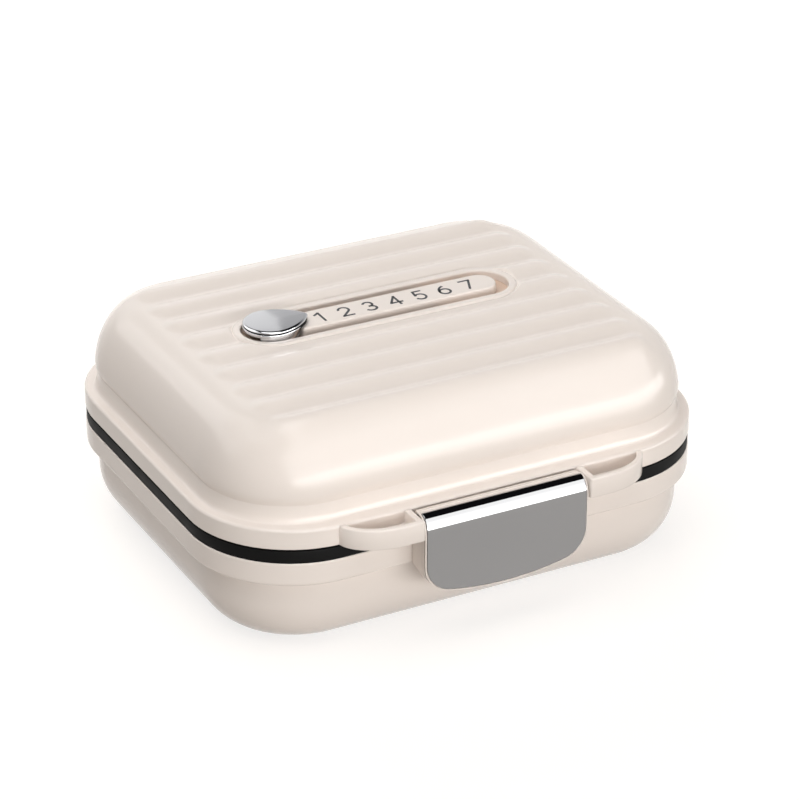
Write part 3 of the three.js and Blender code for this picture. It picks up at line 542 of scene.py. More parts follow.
right_end = wall_end(LONG_WALL_REACH)
long_outline = np.concatenate([right_end, right_end[::-1] * (-1, 1)])
half_thick = LONG_WALL_THICK / 2
long_mesh = wall_mesh(long_outline, "y", LONG_WALL_Y - half_thick, LONG_WALL_Y + half_thick, 0.4)
piece("long_wall", long_mesh, cream_satin, "base", "cream_inner", "long_divider")
half_thick = CROSS_WALL_THICK / 2
for row, places, direction in (("front", (-23.7, 0.0, 23.7), -1.0), ("back", (-15.8, 15.8), 1.0)):
    inner = direction * (LONG_WALL_Y + direction * 1.0)
    outer_end = wall_end(CROSS_WALL_REACH)
    cross_outline = np.concatenate([outer_end, [(inner, WALL_TOP), (inner, 4.05)]]) * (direction, 1)
    for number, x in enumerate(places, 1):
        cross_mesh = wall_mesh(cross_outline, "x", x - half_thick, x + half_thick, 0.28)
        node = "%s_divider_%d" % (row, number)
        piece("%s_wall_%d" % (row, number), cross_mesh, cream_satin, "base", "cream_inner", node)


# Lid shell
# The upper half of the case, one glossy cream moulding. From its flat band a fillet runs up into a dome
# with nine low ribs across the top. The recess for the day slider has a raised round bezel, and its
# wall goes down to a well under the lid's ceiling.
RIB_FIRST, RIB_PITCH, RIB_COUNT = -35.35, 8.3, 9
RIB_HALF_WIDTH, RIB_HALF_LENGTH, RIB_HEIGHT = 4.15, 43.9, 0.78
DOME_TOP, DOME_IN, DOME_DRAFT = 47.3, 1.9, 0.103
SHOULDER_IN, SHOULDER_UP, SHOULDER_TURN = 10.3, 14.9, 0.17
RECESS_Y, RECESS_RADIUS, RECESS_STRAIGHT = 3.5, 6.15, 24.5
BEZEL_WIDTH, BEZEL_HEIGHT, BEZEL_MOAT, BEZEL_EDGE = 1.6, 0.5, 2.5, 0.4
BAND_TOP, WELL_BOTTOM, LID_CEILING = 29.0, 44.7, 45.4
LID_COUNTS = {"sides": (120, 90), "bend": 18}


def lid_loops(inset, z, **counts):
    """The lid's outline moved in by an inset. From the band to the dome the depth draws in 0.7 mm more."""
    more = 0.7 * np.clip(inset / 1.9, 0.0, 1.0)
    depth = RIM_HALF_Y - inset - more
    return rounded_loops(RIM_HALF_X - inset, depth, RIM_CORNER - inset - more, z, **counts)


def recess_loops(grow, z, guide):
    """The recess outline grown by a distance, with the points of each half circle spread as the guide
    loop spreads its two corners and the side between them, and straight parts with even points."""
    grow, z = np.broadcast_arrays(np.atleast_1d(grow), np.atleast_1d(z))
    bend, ends, longs = LID_COUNTS["bend"], LID_COUNTS["sides"][0], LID_COUNTS["sides"][1]
    end_count = 2 * (bend + 1) + ends - 1
    parts = []
    start = 0
    for side in (1.0, -1.0):
        group = guide[start:start + end_count]
        travelled = np.concatenate([[0.0], np.cumsum(np.linalg.norm(np.diff(group, axis=0), axis=1))])
        angle = np.pi * travelled / travelled[-1] - np.pi / 2
        radius = (RECESS_RADIUS + grow)[:, None]
        x = side * (RECESS_STRAIGHT + radius * np.cos(angle))
        y = RECESS_Y + side * radius * np.sin(angle)
        share = np.linspace(1.0, -1.0, longs + 1)[1:-1]
        straight_x = np.broadcast_to(side * RECESS_STRAIGHT * share, (len(grow), longs - 1))
        straight_y = np.broadcast_to(RECESS_Y + side * radius, straight_x.shape)
        parts.append(np.stack([np.concatenate([x, straight_x], 1), np.concatenate([y, straight_y], 1)], -1))
        start += end_count + longs - 1
    return at_height(np.concatenate(parts, 1), z)


def smooth_step(low, high, value):
    """0 below low, 1 above high, and 3 t t - 2 t t t between them."""
    share = np.clip((value - low) / (high - low), 0.0, 1.0)
    return share * share * (3.0 - 2.0 * share)


def with_ribs(loops):
    """Lifts points of the dome on to the ribs and the bezel. A rib rises as (1 + cos(pi q ** 1.1)) / 2,
    where q is the distance to its middle line over its half width, so its crest is wider than the
    valley. Towards the bezel the ribs sink, and the bezel has a flat top and two rounded edges."""
    x, y, z = loops[..., 0], loops[..., 1], loops[..., 2]
    number = np.clip(np.round((y - RIB_FIRST) / RIB_PITCH), 0, RIB_COUNT - 1)
    over = np.maximum(np.abs(x) - (RIB_HALF_LENGTH - RIB_HALF_WIDTH), 0.0)
    q = np.clip(np.hypot(over, y - RIB_FIRST - number * RIB_PITCH) / RIB_HALF_WIDTH, 0.0, 1.0)
    rise = RIB_HEIGHT * (1.0 + np.cos(np.pi * q ** 1.1)) / 2
    beside = np.hypot(np.maximum(np.abs(x) - RECESS_STRAIGHT, 0.0), y - RECESS_Y) - RECESS_RADIUS
    lifted = z + rise * smooth_step(BEZEL_WIDTH, BEZEL_MOAT, beside)
    on_bezel = 1.0 - smooth_step(BEZEL_WIDTH - 0.2, BEZEL_WIDTH + 0.35, beside)
    lifted = lifted + (DOME_TOP + BEZEL_HEIGHT - lifted) * on_bezel
    from_edge = BEZEL_EDGE - np.clip(beside, 0.0, BEZEL_EDGE)
    lifted = lifted - (BEZEL_EDGE - np.sqrt(BEZEL_EDGE ** 2 - from_edge ** 2))
    return np.stack([x, y, lifted], -1)


shoulder_start = SHOULDER_IN + DOME_IN + DOME_DRAFT * (DOME_TOP - SHOULDER_UP - BAND_TOP)
turn = SHOULDER_TURN + np.linspace(0.0, 1.0, 36) ** 0.8 * (np.pi / 2 - SHOULDER_TURN)
shoulder = np.column_stack([
    shoulder_start - SHOULDER_IN * np.cos(turn),
    DOME_TOP - SHOULDER_UP * (1 - np.sin(turn)),
])
outer_profile = profile(
    (3.7, 24.75),
    bend_of((3.55, 24.6), (0.35, 24.6), "level", 1),
    bend_of((0.35, 24.6), (0.0, 24.95), "level", 4),
    bend_of((0.0, 28.45), (0.55, 29.0), "upright", 6),
    (1.8, 29.02), (2.05, 29.1), (2.25, 29.32), (2.42, 29.8), (2.56, 30.5), (2.72, 31.5), (2.88, 32.56),
    (2.9, 32.64), (2.86, 32.74), (2.6, 33.3), (2.46, 33.8), (2.4, 34.4),
)
outer = lid_loops(*outer_profile.T, **LID_COUNTS)
crown = lid_loops(*shoulder.T, **LID_COUNTS)
guide = crown[-1, :, :2]
field_edge = recess_loops(BEZEL_MOAT + 0.4, DOME_TOP, guide)[0]
share = np.linspace(0.0, 1.0, 60)[1:, None, None]
field = crown[-1] * (1 - share) + field_edge * share
bezel_steps = np.concatenate([
    np.linspace(2.8, 1.4, 15),
    [1.2, 0.9, 0.6, 0.48, 0.4, 0.32, 0.24, 0.17, 0.11, 0.06, 0.02, 0.0],
])
bezel = recess_loops(bezel_steps, DOME_TOP, guide)
top = with_ribs(np.concatenate([crown, field, bezel]))
wall = recess_loops(0.0, [DOME_TOP, 46.9, 46.0, WELL_BOTTOM], guide)
well = recess_loops(1.9, [WELL_BOTTOM, LID_CEILING], guide)
inner_bend = bend_of((shoulder_start, LID_CEILING), (shoulder_start - 8.5, LID_CEILING - 13.0), "level", 9)
inner_profile = np.concatenate([inner_bend, [(3.7, BAND_TOP)]])
inner = lid_loops(*inner_profile.T, **LID_COUNTS)
lid_mesh = shell_mesh(np.concatenate([outer, top, wall, well, inner]), True)
piece("lid_moulding", lid_mesh, cream_gloss, "lid", "cream_shell", "lid_shell")


# Recess floor
# The floor of the slider's recess, part of the lid's moulding, with the two slots in which the legs of
# the knob run. It has a darker, browner cream than the open lid, which paints the shade down in the recess.
SLOT_AWAY, SLOT_WIDTH, SLOT_LEFT, SLOT_RIGHT = 4.6, 1.8, -27.3, 13.1
FLOOR_GROW, FLOOR_TOP = 0.5, 46.1


def flat_cut(outlines, low, high, edge):
    """A plate between two heights with holes: closed outlines filled as a flat curve, the first outside
    and the others cut out, drawn out upwards with edges rounded by edge."""
    curve = bpy.data.curves.new("flat_cut", "CURVE")
    curve.dimensions = "2D"
    curve.fill_mode = "BOTH"
    curve.extrude = ((high - low) / 2 - edge) * MM
    curve.bevel_depth = edge * MM
    curve.bevel_resolution = 2
    curve.offset = -edge * MM
    for outline in outlines:
        spline = curve.splines.new("POLY")
        spline.points.add(len(outline) - 1)
        coordinates = np.pad(np.asarray(outline) * MM, ((0, 0), (0, 2)))
        coordinates[:, 3] = 1.0
        spline.points.foreach_set("co", coordinates.ravel())
        spline.use_cyclic_u = True
    holder = added("flat_cut", curve)
    mesh = bpy.data.meshes.new_from_object(holder.evaluated_get(bpy.context.evaluated_depsgraph_get()))
    bpy.data.objects.remove(holder)
    bpy.data.curves.remove(curve)
    mesh.transform(Matrix.Translation((0, 0, (low + high) / 2 * MM)))
    return mesh


def stadium(half_length, half_width, y, steps=24):
    """Two half circles joined by straight sides, along X, counter-clockwise."""
    cap = arc_points(half_length - half_width, 0.0, half_width, half_width, -90, 90, steps)
    return np.concatenate([cap, -cap]) + (0.0, y)


floor_radius = RECESS_RADIUS + FLOOR_GROW
floor_cuts = [stadium(RECESS_STRAIGHT + floor_radius, floor_radius, RECESS_Y, 40)]
for side in (-1.0, 1.0):
    low_y = RECESS_Y + side * SLOT_AWAY - SLOT_WIDTH / 2
    high_y = low_y + SLOT_WIDTH
    floor_cuts.append([(SLOT_LEFT, high_y), (SLOT_RIGHT, high_y), (SLOT_RIGHT, low_y), (SLOT_LEFT, low_y)])
floor_mesh = flat_cut(floor_cuts, WELL_BOTTOM + 0.05, FLOOR_TOP, 0.08)
# Painted shade: the floor's cream is darker and browner than the lid's, for the shade in the recess.
SHADED = (0.66, 0.5, 0.4)
SHADED_DEEP = (0.64, 0.48, 0.38)
recess_painted_shade = textured("recess_painted_shade", SHADED, SHADED_DEEP, 0.3, 0.03, 28.0, 420.0, 1.2e-6)
piece("recess_floor", floor_mesh, recess_painted_shade, "lid", "cream_shell")


# Latch ears
# Two hollow ears on the lid's band that hold the pin between them. Each is a thin curved wall round a
# pocket, straight towards the latch and fading into the band at its other end.
EAR_START, EAR_CENTRE_X, EAR_CENTRE_Y, EAR_ROOT = 18.75, 23.0, -46.0, -46.75
EAR_REACH_X, EAR_REACH_Y = 11.4, 7.4


def ear_outline(inset, end_inset, root):
    """Half of an ellipse with a straight end towards the latch, drawn in by an inset, and closed by a
    straight back at the root. The same number of points whatever the inset."""
    reach_x, reach_y = EAR_REACH_X - inset, EAR_REACH_Y - inset
    front_y = EAR_CENTRE_Y - reach_y
    start_x = EAR_START + end_inset
    last = np.degrees(np.arcsin(np.clip((EAR_CENTRE_Y - root) / reach_y, 0.0, 1.0)))
    curve = arc_points(EAR_CENTRE_X, EAR_CENTRE_Y, reach_x, -reach_y, 90, last, 48)
    front = np.column_stack([np.linspace(start_x, EAR_CENTRE_X, 10)[:-1], np.full(9, front_y)])
    back_x = np.linspace(curve[-1, 0], start_x, 22)[1:]
    back = np.column_stack([back_x, np.full(21, root)])
    side_y = np.linspace(root, front_y, 10)[1:-1]
    side = np.column_stack([np.full(8, start_x), side_y])
    return np.concatenate([front, curve, back, side])


def ear_mesh(mirror):
    """The ear as one cup: up its outside, over the rounded top of its wall, and down into the pocket,
    whose end wall is 0.1 mm thicker. Near the band the top sinks a little and ends inside the band."""
    outside = [(0.30, 24.6), (0.09, 24.69), (0.0, 24.9), (0.0, 28.7), (0.09, 28.91), (0.30, 29.0)]
    pocket = [(1.05, 29.0), (1.24, 28.92), (1.3, 28.75), (1.3, 26.4), (1.42, 26.12), (1.7, 26.0)]
    stages = [(inset, inset, EAR_ROOT, z) for inset, z in outside]
    stages += [(inset, inset + 0.1, EAR_ROOT - 0.2, z) for inset, z in pocket]
    loops = []
    for inset, end_inset, root, z in stages:
        outline = ear_outline(inset, end_inset, root)
        sink = 0.7 * smooth_step(-47.25, -46.95, outline[:, 1]) * smooth_step(28.0, 28.6, z)
        loops.append(np.column_stack([outline[:, 0] * mirror, outline[:, 1], z - sink]))
    return shell_mesh(loops)


for side_name, mirror in (("left", -1.0), ("right", 1.0)):
    piece("latch_ear_" + side_name, ear_mesh(mirror), cream_gloss, "lid", "cream_shell")


# Latch pin
# A thin drawn steel rod that is held by the two ears. The latch lever turns on it.
LATCH_Y, LATCH_Z = -50.7, 26.8
latch_rod_mesh = rod_mesh(0.7, 19.5, LATCH_Y, LATCH_Z, 24)
piece("latch_rod", latch_rod_mesh, drawn_steel, "lid", "pin_steel", "latch_pin")


# Lid liner and pad
# A flat satin plate that closes the underside of the lid, and on it a soft white sheet of silicone that
# closes the tops of the cells.
LINER_COUNTS = {"sides": (20, 24), "bend": 14}
liner_profile = profile(
    bend_of((5.30, 35.8), (5.06, 36.04), "level", 3),
    bend_of((5.06, 37.06), (5.30, 37.3), "upright", 3),
)
liner_mesh = shell_mesh(lid_loops(*liner_profile.T, **LINER_COUNTS))
piece("liner_plate", liner_mesh, cream_satin, "lid", "cream_inner", "lid_liner")

PAD = (0.86, 0.85, 0.825)
PAD_DEEP = (0.83, 0.82, 0.79)
pad_white = textured("pad_white", PAD, PAD_DEEP, 0.62, 0.05, 50.0, 2200.0, 1.2e-5)
pad_profile = profile(
    (8.4, 34.75),
    bend_of((8.2, 34.75), (7.8, 34.5), "level", 4),
    (6.4, 34.5),
    bend_of((6.05, 34.5), (5.56, 35.0), "level", 5),
    (5.56, 35.78),
)
pad_mesh = shell_mesh(lid_loops(*pad_profile.T, **LINER_COUNTS))
piece("pad_sheet", pad_mesh, pad_white, "lid", "pad_silicone", "liner_pad")


# Hidden mechanism
# Four steel screws hold the liner. The clip and the notched rack are satin mouldings and the leaf
# spring is steel. They keep their CAD shapes and get their real finishes.
steel_parts = ("liner_screw_1", "liner_screw_2", "liner_screw_3", "liner_screw_4", "detent_spring")
for names, finish in ((steel_parts, drawn_steel), (("slider_clip", "detent_rack"), cream_satin)):
    for name in names:
        nodes[name].data.materials.clear()
        nodes[name].data.materials.append(finish)


# Number strip
# A raised glossy cream bar in the recess, square under the knob and round at its far end.
STRIP_TOP, STRIP_HALF, STRIP_LEFT, STRIP_CAP, STRIP_CORNER = 48.05, 3.65, -18.8, 24.25, 0.6


def strip_outline(inset):
    """The bar's outline drawn in by an inset: a half circle at the right and a straight left end with
    small round corners. The front half mirrors the back half."""
    half = STRIP_HALF - inset
    left = STRIP_LEFT + inset + STRIP_CORNER
    cap = arc_points(STRIP_CAP, 0.0, half, half, -90, 90, 32)
    back = np.column_stack([np.linspace(STRIP_CAP - 1.0, left, 24), np.full(24, half)])
    corner = arc_points(left, half - STRIP_CORNER, STRIP_CORNER, STRIP_CORNER, 90, 180, 6)[1:]
    side = np.concatenate([back, corner])
    return np.concatenate([cap, side, (side * (1, -1))[::-1]]) + (0.0, RECESS_Y)


strip_edge = bend_of((0.0, 47.6), (0.4, STRIP_TOP), "upright", 8)
strip_profile = profile((-0.25, FLOOR_TOP - 0.05), strip_edge, (0.6, STRIP_TOP))
strip_mesh = shell_mesh([at_height(strip_outline(inset), z) for inset, z in strip_profile])
piece("number_bar", strip_mesh, cream_gloss, "lid", "cream_shell", "number_strip")


# Numbers
# The days 1 to 7, printed on the bar in thin dark grey ink, each about 4.4 mm tall. The ink is a skin
# that stands 0.03 mm above the bar.
NUMBER_WIDTH, NUMBER_HEIGHT, STROKE = 4.35, 3.9, 0.52
INK_TOP, INK_FOOT = STRIP_TOP + 0.03, STRIP_TOP - 0.05
INK = (0.052, 0.052, 0.056)
INK_DEEP = (0.040, 0.040, 0.044)
number_ink = textured("number_ink", INK, INK_DEEP, 0.5, 0.05, 300.0, 4000.0, 2e-6)


# The strokes of each number as points, across as a share of the width and up as one of the height
NUMBER_STROKES = {
    "1": [[(0.10, 0.80), (0.36, 1.0)], [(0.36, 1.0), (0.36, 0.0)]],
    "2": [[*arc_points(0.30, 0.71, 0.26, 0.29, 165, -38), (0.03, 0.0)], [(0.03, 0.0), (0.58, 0.0)]],
    "3": [arc_points(0.28, 0.745, 0.23, 0.255, 150, -90), arc_points(0.28, 0.255, 0.27, 0.255, 90, -150)],
    "4": [[(0.44, 1.0), (0.02, 0.27)], [(0.02, 0.27), (0.62, 0.27)], [(0.44, 1.0), (0.44, 0.0)]],
    "5": [
        [(0.53, 1.0), (0.13, 1.0)], [(0.13, 1.0), (0.08, 0.50)],
        arc_points(0.28, 0.32, 0.27, 0.32, 138, -150),
    ],
    "6": [arc_points(0.29, 0.30, 0.27, 0.30, 0, 360, 40), arc_points(0.60, 0.30, 0.58, 0.68, 180, 112)],
    "7": [[(0.03, 1.0), (0.57, 1.0)], [(0.57, 1.0), (0.20, 0.0)]],
}


def stroke_mesh(strokes, x, y):
    """Flat ribbons along the strokes of a number: each point of a stroke gives one to its left and one
    to its right, half a stroke away along the normal, at the top and at the foot of the ink."""
    points, faces = [], []
    for stroke in strokes:
        line = np.array(stroke, float) * (NUMBER_WIDTH, NUMBER_HEIGHT)
        way = np.gradient(line, axis=0)
        way /= np.linalg.norm(way, axis=1, keepdims=True)
        line[0] -= way[0] * STROKE * 0.35
        line[-1] += way[-1] * STROKE * 0.35
        side = np.column_stack([-way[:, 1], way[:, 0]]) * STROKE / 2
        line = line + (x - 0.3 * NUMBER_WIDTH, y - 0.5 * NUMBER_HEIGHT)
        left, right = line + side, line - side
        corners = ((left, INK_TOP), (right, INK_TOP), (right, INK_FOOT), (left, INK_FOOT))
        ring = np.stack([at_height(place, z) for place, z in corners], 1)
        first = sum(len(p) for p in points)
        points.append(ring.reshape(-1, 3))
        rows = len(line)
        edge = first + np.arange(rows - 1)[:, None] * 4 + np.arange(4)
        beside = edge + np.array([1, 1, 1, -3])
        faces += np.stack([edge + 4, beside + 4, beside, edge], -1).reshape(-1, 4).tolist()
        faces += [[first, first + 1, first + 2, first + 3]]
        last = first + (rows - 1) * 4
        faces += [[last + 3, last + 2, last + 1, last]]
    mesh = bpy.data.meshes.new("strokes")
    mesh.from_pydata((np.concatenate(points) * MM).tolist(), [], faces)
    mesh.update()
    return mesh


number_places = (-13.2, -7.5, -1.75, 4.05, 9.95, 15.7, 21.4)
for number, x in enumerate(number_places, 1):
    number_mesh = stroke_mesh(NUMBER_STROKES[str(number)], x, RECESS_Y - 0.3)
    piece("number_%d" % number, number_mesh, number_ink, "lid", "cream_shell")


# Slider knob
# A drop-shaped chromed cap whose tip points at the day. Under its rim a band of black silicone paints
# the shade beneath the cap. Its skirt stands in the recess on both sides of the bar and behind it, and
# two flat legs go down through the slots to the clip.
KNOB_PLACE = np.array([-24.5, RECESS_Y, 0.0])
KNOB_TOP, FACE_DOME, KNOB_CHANNEL = 49.75, 0.135, 4.0
SKIRT_TOP = ((0.0, 48.62), (0.02, 48.74), (0.08, 48.8), (0.4, 48.8))
DROP_BACK, DROP_TIP, DROP_FLANK, DROP_TIP_X = 5.75, 1.0, 11.0, 7.4
CHROME = (0.60, 0.60, 0.61)
CHROME_DEEP = (0.58, 0.58, 0.59)
bright_chrome = textured("bright_chrome", CHROME, CHROME_DEEP, 0.10, 0.015, 50.0, 160.0, 1e-6, metal=1.0)


def drop_outline(inset):
    """A round back, two flank arcs and a rounded tip, drawn in by an inset. Each flank arc shares a
    tangent with the back and with the tip: its middle lies as far from theirs as the radii differ."""
    back, tip, flank = DROP_BACK - inset, DROP_TIP - inset, DROP_FLANK - inset
    flank_x = ((flank - back) ** 2 - (flank - tip) ** 2 + DROP_TIP_X ** 2) / (2 * DROP_TIP_X)
    flank_y = np.sqrt((flank - back) ** 2 - flank_x ** 2)
    at_back = np.degrees(np.arctan2(flank_y, -flank_x))
    at_tip = np.degrees(np.arctan2(flank_y, DROP_TIP_X - flank_x))
    return np.concatenate([
        arc_points(DROP_TIP_X, 0.0, tip, tip, -at_tip, at_tip, 20),
        arc_points(flank_x, -flank_y, flank, flank, at_tip, at_back, 30)[1:],
        arc_points(0.0, 0.0, back, back, at_back, 360.0 - at_back, 90)[1:],
        arc_points(flank_x, flank_y, flank, flank, -at_back, -at_tip, 30)[1:-1],
    ])


def skirt_mesh(side):
    """The part of the drop beyond the channel, drawn down as a solid. Its wall stands under the wall of
    the cap, 0.35 mm below it."""
    outline = drop_outline(0.0)
    inside = np.flatnonzero(outline[:, 1] * side > KNOB_CHANNEL)
    run = outline[inside[0] - 1:inside[-1] + 2].copy()
    for end, beside in ((0, 1), (-1, -2)):
        share = (side * KNOB_CHANNEL - run[beside, 1]) / (run[end, 1] - run[beside, 1])
        run[end] = run[beside] * (1 - share) + run[end] * share
    near = run[[0, -1]] * 0.97 + run[[1, -2]] * 0.03
    chord = run[-1] + (run[0] - run[-1]) * np.array([0.01, 0.25, 0.5, 0.75, 0.99])[:, None]
    ring = np.concatenate([run[:1], near[:1], run[1:-1], near[1:], run[-1:], chord])
    middle = ring.mean(0)
    loops = []
    for shrink, z in ((0.1, 46.6), (0.0, 46.72), (0.0, 47.5), *SKIRT_TOP):
        loops.append(at_height(ring * (1 - shrink) + middle * shrink, z) + KNOB_PLACE)
    return shell_mesh(loops)


def collar_mesh(reach, thick):
    """A curved wall that closes the skirt behind the channel: an outer arc and an inner arc, both drawn
    together a little at the top and the foot. reach is the angle to either side of the back."""
    outer = arc_points(0, 0, DROP_BACK, DROP_BACK, 180 - reach, 180 + reach, 40)
    inner = outer[::-1] * (DROP_BACK - thick) / DROP_BACK
    loops = []
    for shrink, z in ((0.4, 48.15), (0.05, 48.15), (0.0, 48.2), *SKIRT_TOP):
        wall = np.concatenate([outer * (1 - 0.04 * shrink), inner * (1 + 0.04 * shrink)])
        loops.append(at_height(wall, z) + KNOB_PLACE)
    return shell_mesh(loops)


# The cap's edge as inset and height: its flat underside, its rim on an arc of 66 degrees stretched to
# 0.5 by 0.37 mm, and the start of its face, which then domes as 1 - (1 - share) ** 2
rim_turn = np.linspace(0.0, np.radians(66), 12)
rim_in = 0.5 * (1 - np.cos(rim_turn)) / (1 - np.cos(rim_turn[-1]))
rim_up = 49.22 + 0.37 * np.sin(rim_turn) / np.sin(rim_turn[-1])
cap_profile = np.concatenate([
    [(0.95, 49.15), (0.1, 49.15), (0.03, 49.16), (0.0, 49.19)],
    np.column_stack([rim_in, rim_up]),
    [(0.53, KNOB_TOP - 0.155), (0.6, KNOB_TOP - 0.15), (0.9, KNOB_TOP - FACE_DOME)],
])
cap_loops = np.array([at_height(drop_outline(inset), z) for inset, z in cap_profile])
face_share = np.array([0.08, 0.18, 0.30, 0.43, 0.57, 0.70, 0.83, 0.94])[:, None, None]
face_loops = cap_loops[-1] * (1 - face_share) + (0.8, 0.0, 0.0) * face_share
face_loops[..., 2] = KNOB_TOP - FACE_DOME * (1 - face_share[..., 0]) ** 2
cap_mesh = shell_mesh(np.concatenate([cap_loops, face_loops]) + KNOB_PLACE)
piece("knob_cap", cap_mesh, bright_chrome, "slider", "bright_chrome", "slider_knob")
# Painted shade: a black band just inside the cap's outline, under its rim, for the shade beneath the cap.
shade_band_profile = ((0.9, 48.2), (0.2, 48.2), (0.1, 48.3), (0.1, 49.1), (0.1, 49.2), (0.9, 49.2))
shade_band_mesh = shell_mesh([at_height(drop_outline(inset), z) + KNOB_PLACE for inset, z in shade_band_profile])
piece("knob_painted_shade_band", shade_band_mesh, black_silicone, "slider", "black_silicone")
piece("knob_collar", collar_mesh(47, 0.55), bright_chrome, "slider", "bright_chrome")
leg_outline = np.array([(-2.5, 43.7), (2.5, 43.7), (2.5, 46.9), (-2.5, 46.9)]) + (KNOB_PLACE[0], 0.0)
for side_name, side in (("front", -1.0), ("back", 1.0)):
    piece("knob_skirt_" + side_name, skirt_mesh(side), bright_chrome, "slider", "bright_chrome")
    leg_y = RECESS_Y + side * SLOT_AWAY
    leg_mesh = wall_mesh(leg_outline, "y", leg_y - 0.6, leg_y + 0.6, 0.15)
    piece("knob_leg_" + side_name, leg_mesh, bright_chrome, "slider", "bright_chrome")


# Latch lever
# A cream moulding that turns on the pin. Its skin shows as a thin rim round the chromed plate and as a
# lip behind the bend, and it has a cheek at each end and a claw under the flange of the base.
BEND_DEPTH, BEND_RISE = 2.9, 3.9
BEND_Y, BEND_Z = -50.25, 25.35
FRONT_Y = BEND_Y - BEND_DEPTH
LEVER_SHEET = {"top_down": -1.4, "side": 18.45, "bottom": 10.5, "corner": 6.7}
PLATE_SHEET = {"top_down": 0.12, "side": 18.05, "bottom": 10.9, "corner": 6.3}
bend_turn = np.linspace(0.0, np.radians(150), 400)
bend_line = np.column_stack([-BEND_DEPTH * np.cos(bend_turn), BEND_RISE * np.sin(bend_turn)])
bend_length = np.concatenate([[0.0], np.cumsum(np.linalg.norm(np.diff(bend_line, axis=0), axis=1))])
top_length = np.interp(np.radians(90), bend_turn, bend_length)


def bent(flat):
    """Wraps a flat sheet over the latch. Its first value is across, the second is the way down the sheet
    from the top of the bend, and the third is the depth under the outer surface. The sheet follows an
    ellipse over the pin and then runs straight down."""
    across, down, depth = flat[..., 0], flat[..., 1], flat[..., 2]
    along = top_length - down
    turn = np.interp(along, bend_length, bend_turn)
    normal_y = -np.cos(turn) / BEND_DEPTH
    normal_z = np.sin(turn) / BEND_RISE
    length = np.hypot(normal_y, normal_z)
    y = BEND_Y - BEND_DEPTH * np.cos(turn) - depth * normal_y / length
    z = BEND_Z + BEND_RISE * np.sin(turn) - depth * normal_z / length
    straight = along < 0
    y = np.where(straight, FRONT_Y + depth, y)
    z = np.where(straight, BEND_Z + along, z)
    return np.stack([across, y, z], -1)


# Steps along the sheet: down its side to the round corner, from there to the corner's middle, and across
SIDE_STEPS, CORNER_STEPS, SHEET_COLUMNS = 64, 12, 61
SHEET_ROWS = SIDE_STEPS + CORNER_STEPS


def plate_outline(inset, top_down, side, bottom, corner, rise=1.2):
    """The sheet's outline drawn in by an inset, as across and down values: straight sides, round lower
    corners and a lower edge on one wide arc that shares its tangents with them. It starts at the top
    right and has SHEET_ROWS steps down to the middle of a corner and SHEET_COLUMNS across."""
    half, radius = side - inset, max(corner - inset, 0.3)
    low = bottom + inset
    centre_x = half - radius
    centre_up = radius + rise
    wide = (centre_x ** 2 + centre_up ** 2 - radius ** 2) / (2 * rise)
    lean = np.degrees(np.arctan2(centre_x, wide - centre_up))
    right = arc_points(centre_x, low + centre_up, radius, radius, 0, lean - 90, 2 * CORNER_STEPS)
    edge = arc_points(0.0, low + wide, wide, wide, lean - 90, -lean - 90, 40)[1:-1]
    low_side = np.concatenate([right, edge, (right * (-1, 1))[::-1]])
    down = top_length + BEND_Z - low_side[:, 1]
    low_side = np.column_stack([low_side[:, 0], down])
    side_share = np.linspace(0.0, 1.0, SIDE_STEPS + 1)[:-1] ** 1.5
    top = top_down + inset
    side_down = top + (low_side[0, 1] - top) * side_share
    right_side = np.column_stack([np.full(SIDE_STEPS, half), side_down])
    left_side = (right_side * (-1, 1))[::-1]
    top_across = np.linspace(-half, half, SHEET_COLUMNS + 1)[1:-1]
    top_edge = np.column_stack([top_across, np.full(SHEET_COLUMNS - 1, top)])
    return np.concatenate([right_side, low_side, left_side, top_edge])


def filled(outline):
    """A grid inside the outline. Each of its points adds what the two sides give across to what the top
    and the lower edge give down, less what the four corners give alone."""
    rows, columns, count = SHEET_ROWS, SHEET_COLUMNS, len(outline)
    across_index = np.arange(columns + 1)
    down_index = np.arange(rows + 1)
    top = outline[(count - across_index) % count]
    low = outline[rows + across_index]
    right = outline[down_index]
    left = outline[2 * rows + columns - down_index]
    u = ((top[0, 0] - top[:, 0]) / (top[0, 0] - top[-1, 0]))[None, :, None]
    v = ((right[:, 1] - right[0, 1]) / (right[-1, 1] - right[0, 1]))[:, None, None]
    ends = (1 - v) * ((1 - u) * top[0] + u * top[-1]) + v * ((1 - u) * low[0] + u * low[-1])
    return (1 - v) * top + v * low + (1 - u) * right[:, None] + u * left[:, None] - ends


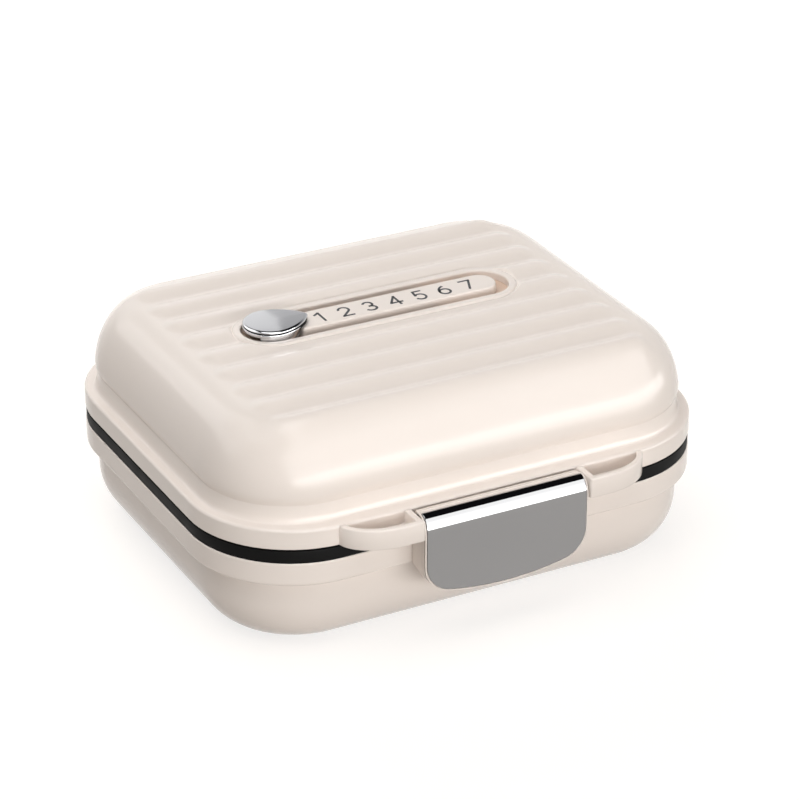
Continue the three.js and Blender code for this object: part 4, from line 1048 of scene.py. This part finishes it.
def sheet_mesh(front, back, edge, form, lip=None):
    """A bent sheet with rounded edges: a grid for its back and one for its front, and loops round the
    edge between them. With a lip the front rises to that depth beyond the top of the bend."""
    rounded = rounded_ends(front, back, edge, 6)[::-1]
    stages = [(back, edge + 0.08), *rounded, (front, edge + 0.08)]
    parts = [at_height(plate_outline(inset, **form), depth) for depth, inset in stages]
    count = len(parts[0])
    rows, columns = SHEET_ROWS, SHEET_COLUMNS
    for ring in (parts[0], parts[-1]):
        inside = filled(ring[:, :2])[1:-1, 1:-1].reshape(-1, 2)
        parts.append(at_height(inside, ring[0, 2]))
    flat = np.concatenate(parts)
    if lip is not None:
        share = smooth_step(-0.05, -0.35, flat[:, 1])
        flat[:, 2] += (lip - front) * share * (flat[:, 2] < (front + back) / 2)
    here = np.arange(count)
    after = (here + 1) % count
    low = np.arange(len(stages) - 1)[:, None] * count
    high = low + count
    faces = [np.stack([low + here, low + after, high + after, high + here], -1).reshape(-1, 4)]
    inner_count = (rows - 1) * (columns - 1)
    last, grid = (len(stages) - 1) * count, len(stages) * count
    for first, inner, order in ((0, grid, -1), (last, grid + inner_count, 1)):
        index = np.empty((rows + 1, columns + 1), int)
        index[1:-1, 1:-1] = inner + np.arange(inner_count).reshape(rows - 1, columns - 1)
        index[0] = first + (count - np.arange(columns + 1)) % count
        index[-1] = first + rows + np.arange(columns + 1)
        index[:, 0] = first + np.arange(rows + 1)
        index[:, -1] = first + 2 * rows + columns - np.arange(rows + 1)
        quads = np.stack([index[:-1, :-1], index[1:, :-1], index[1:, 1:], index[:-1, 1:]], -1)
        faces.append(quads.reshape(-1, 4)[:, ::order])
    return smooth_mesh(bent(flat) * MM, np.concatenate(faces))


lever_mesh = sheet_mesh(0.45, 1.95, 0.2, LEVER_SHEET, lip=0.12)
piece("lever_skin", lever_mesh, cream_gloss, "latch", "cream_shell", "latch_lever")
rim_profile = profile(
    (0.0, 0.75),
    bend_of((0.0, 0.2), (0.1, 0.1), "upright", 3),
    bend_of((0.18, 0.1), (0.28, 0.2), "level", 3),
    (0.28, 0.75),
)
rim_rings = [at_height(plate_outline(inset, **LEVER_SHEET), depth) for inset, depth in rim_profile]
cheek = [(-52.3, 15.6), (-47.35, 16.75), (-47.35, 23.3), (-47.9, 23.9), (-52.3, 23.9)]
lip = [(-50.1, 28.2), (-48.25, 28.2), (-48.25, 28.95), (-50.1, 29.0)]
claw = [
    (-52.0, 14.6), (-45.6, 14.6), (-45.45, 14.8), (-45.45, 16.0),
    (-45.65, 16.2), (-47.35, 16.2), (-47.35, 19.6), (-52.0, 19.6),
]
for name, mesh in (
    ("lever_rim", shell_mesh(bent(np.array(rim_rings)), True)),
    ("lever_cheek_left", wall_mesh(cheek, "x", -18.4, -16.6, 0.12)),
    ("lever_cheek_right", wall_mesh(cheek, "x", 16.6, 18.4, 0.12)),
    ("lever_lip", wall_mesh(lip, "x", -18.2, 18.2, 0.12)),
    ("lever_claw", wall_mesh(claw, "x", -12.0, 12.0, 0.3)),
    ("lever_barrel", rod_mesh(1.7, 18.3, LATCH_Y, LATCH_Z, 40)),
):
    piece(name, mesh, cream_gloss, "latch", "cream_shell")


# Latch plate
# A polished chromed cover clipped on the front of the lever and bent back over its top. Its edge is
# slightly rolled.
# Painted reflection: the plate's chrome is a dark grey, about half as bright as the knob's, which paints
# the dim grey that its flat face reflects.
PLATE_PAINTED_REFLECTION = (0.29, 0.29, 0.292)
PLATE_PAINTED_REFLECTION_DEEP = (0.282, 0.282, 0.284)
plate_chrome_painted_reflection = textured("plate_chrome_painted_reflection", PLATE_PAINTED_REFLECTION, PLATE_PAINTED_REFLECTION_DEEP, 0.05, 0.012, 30.0, 90.0, 1e-6, metal=1.0)
plate_mesh = sheet_mesh(0.0, 0.44, 0.15, PLATE_SHEET)
piece("plate_skin", plate_mesh, plate_chrome_painted_reflection, "latch", "bright_chrome", "latch_plate")
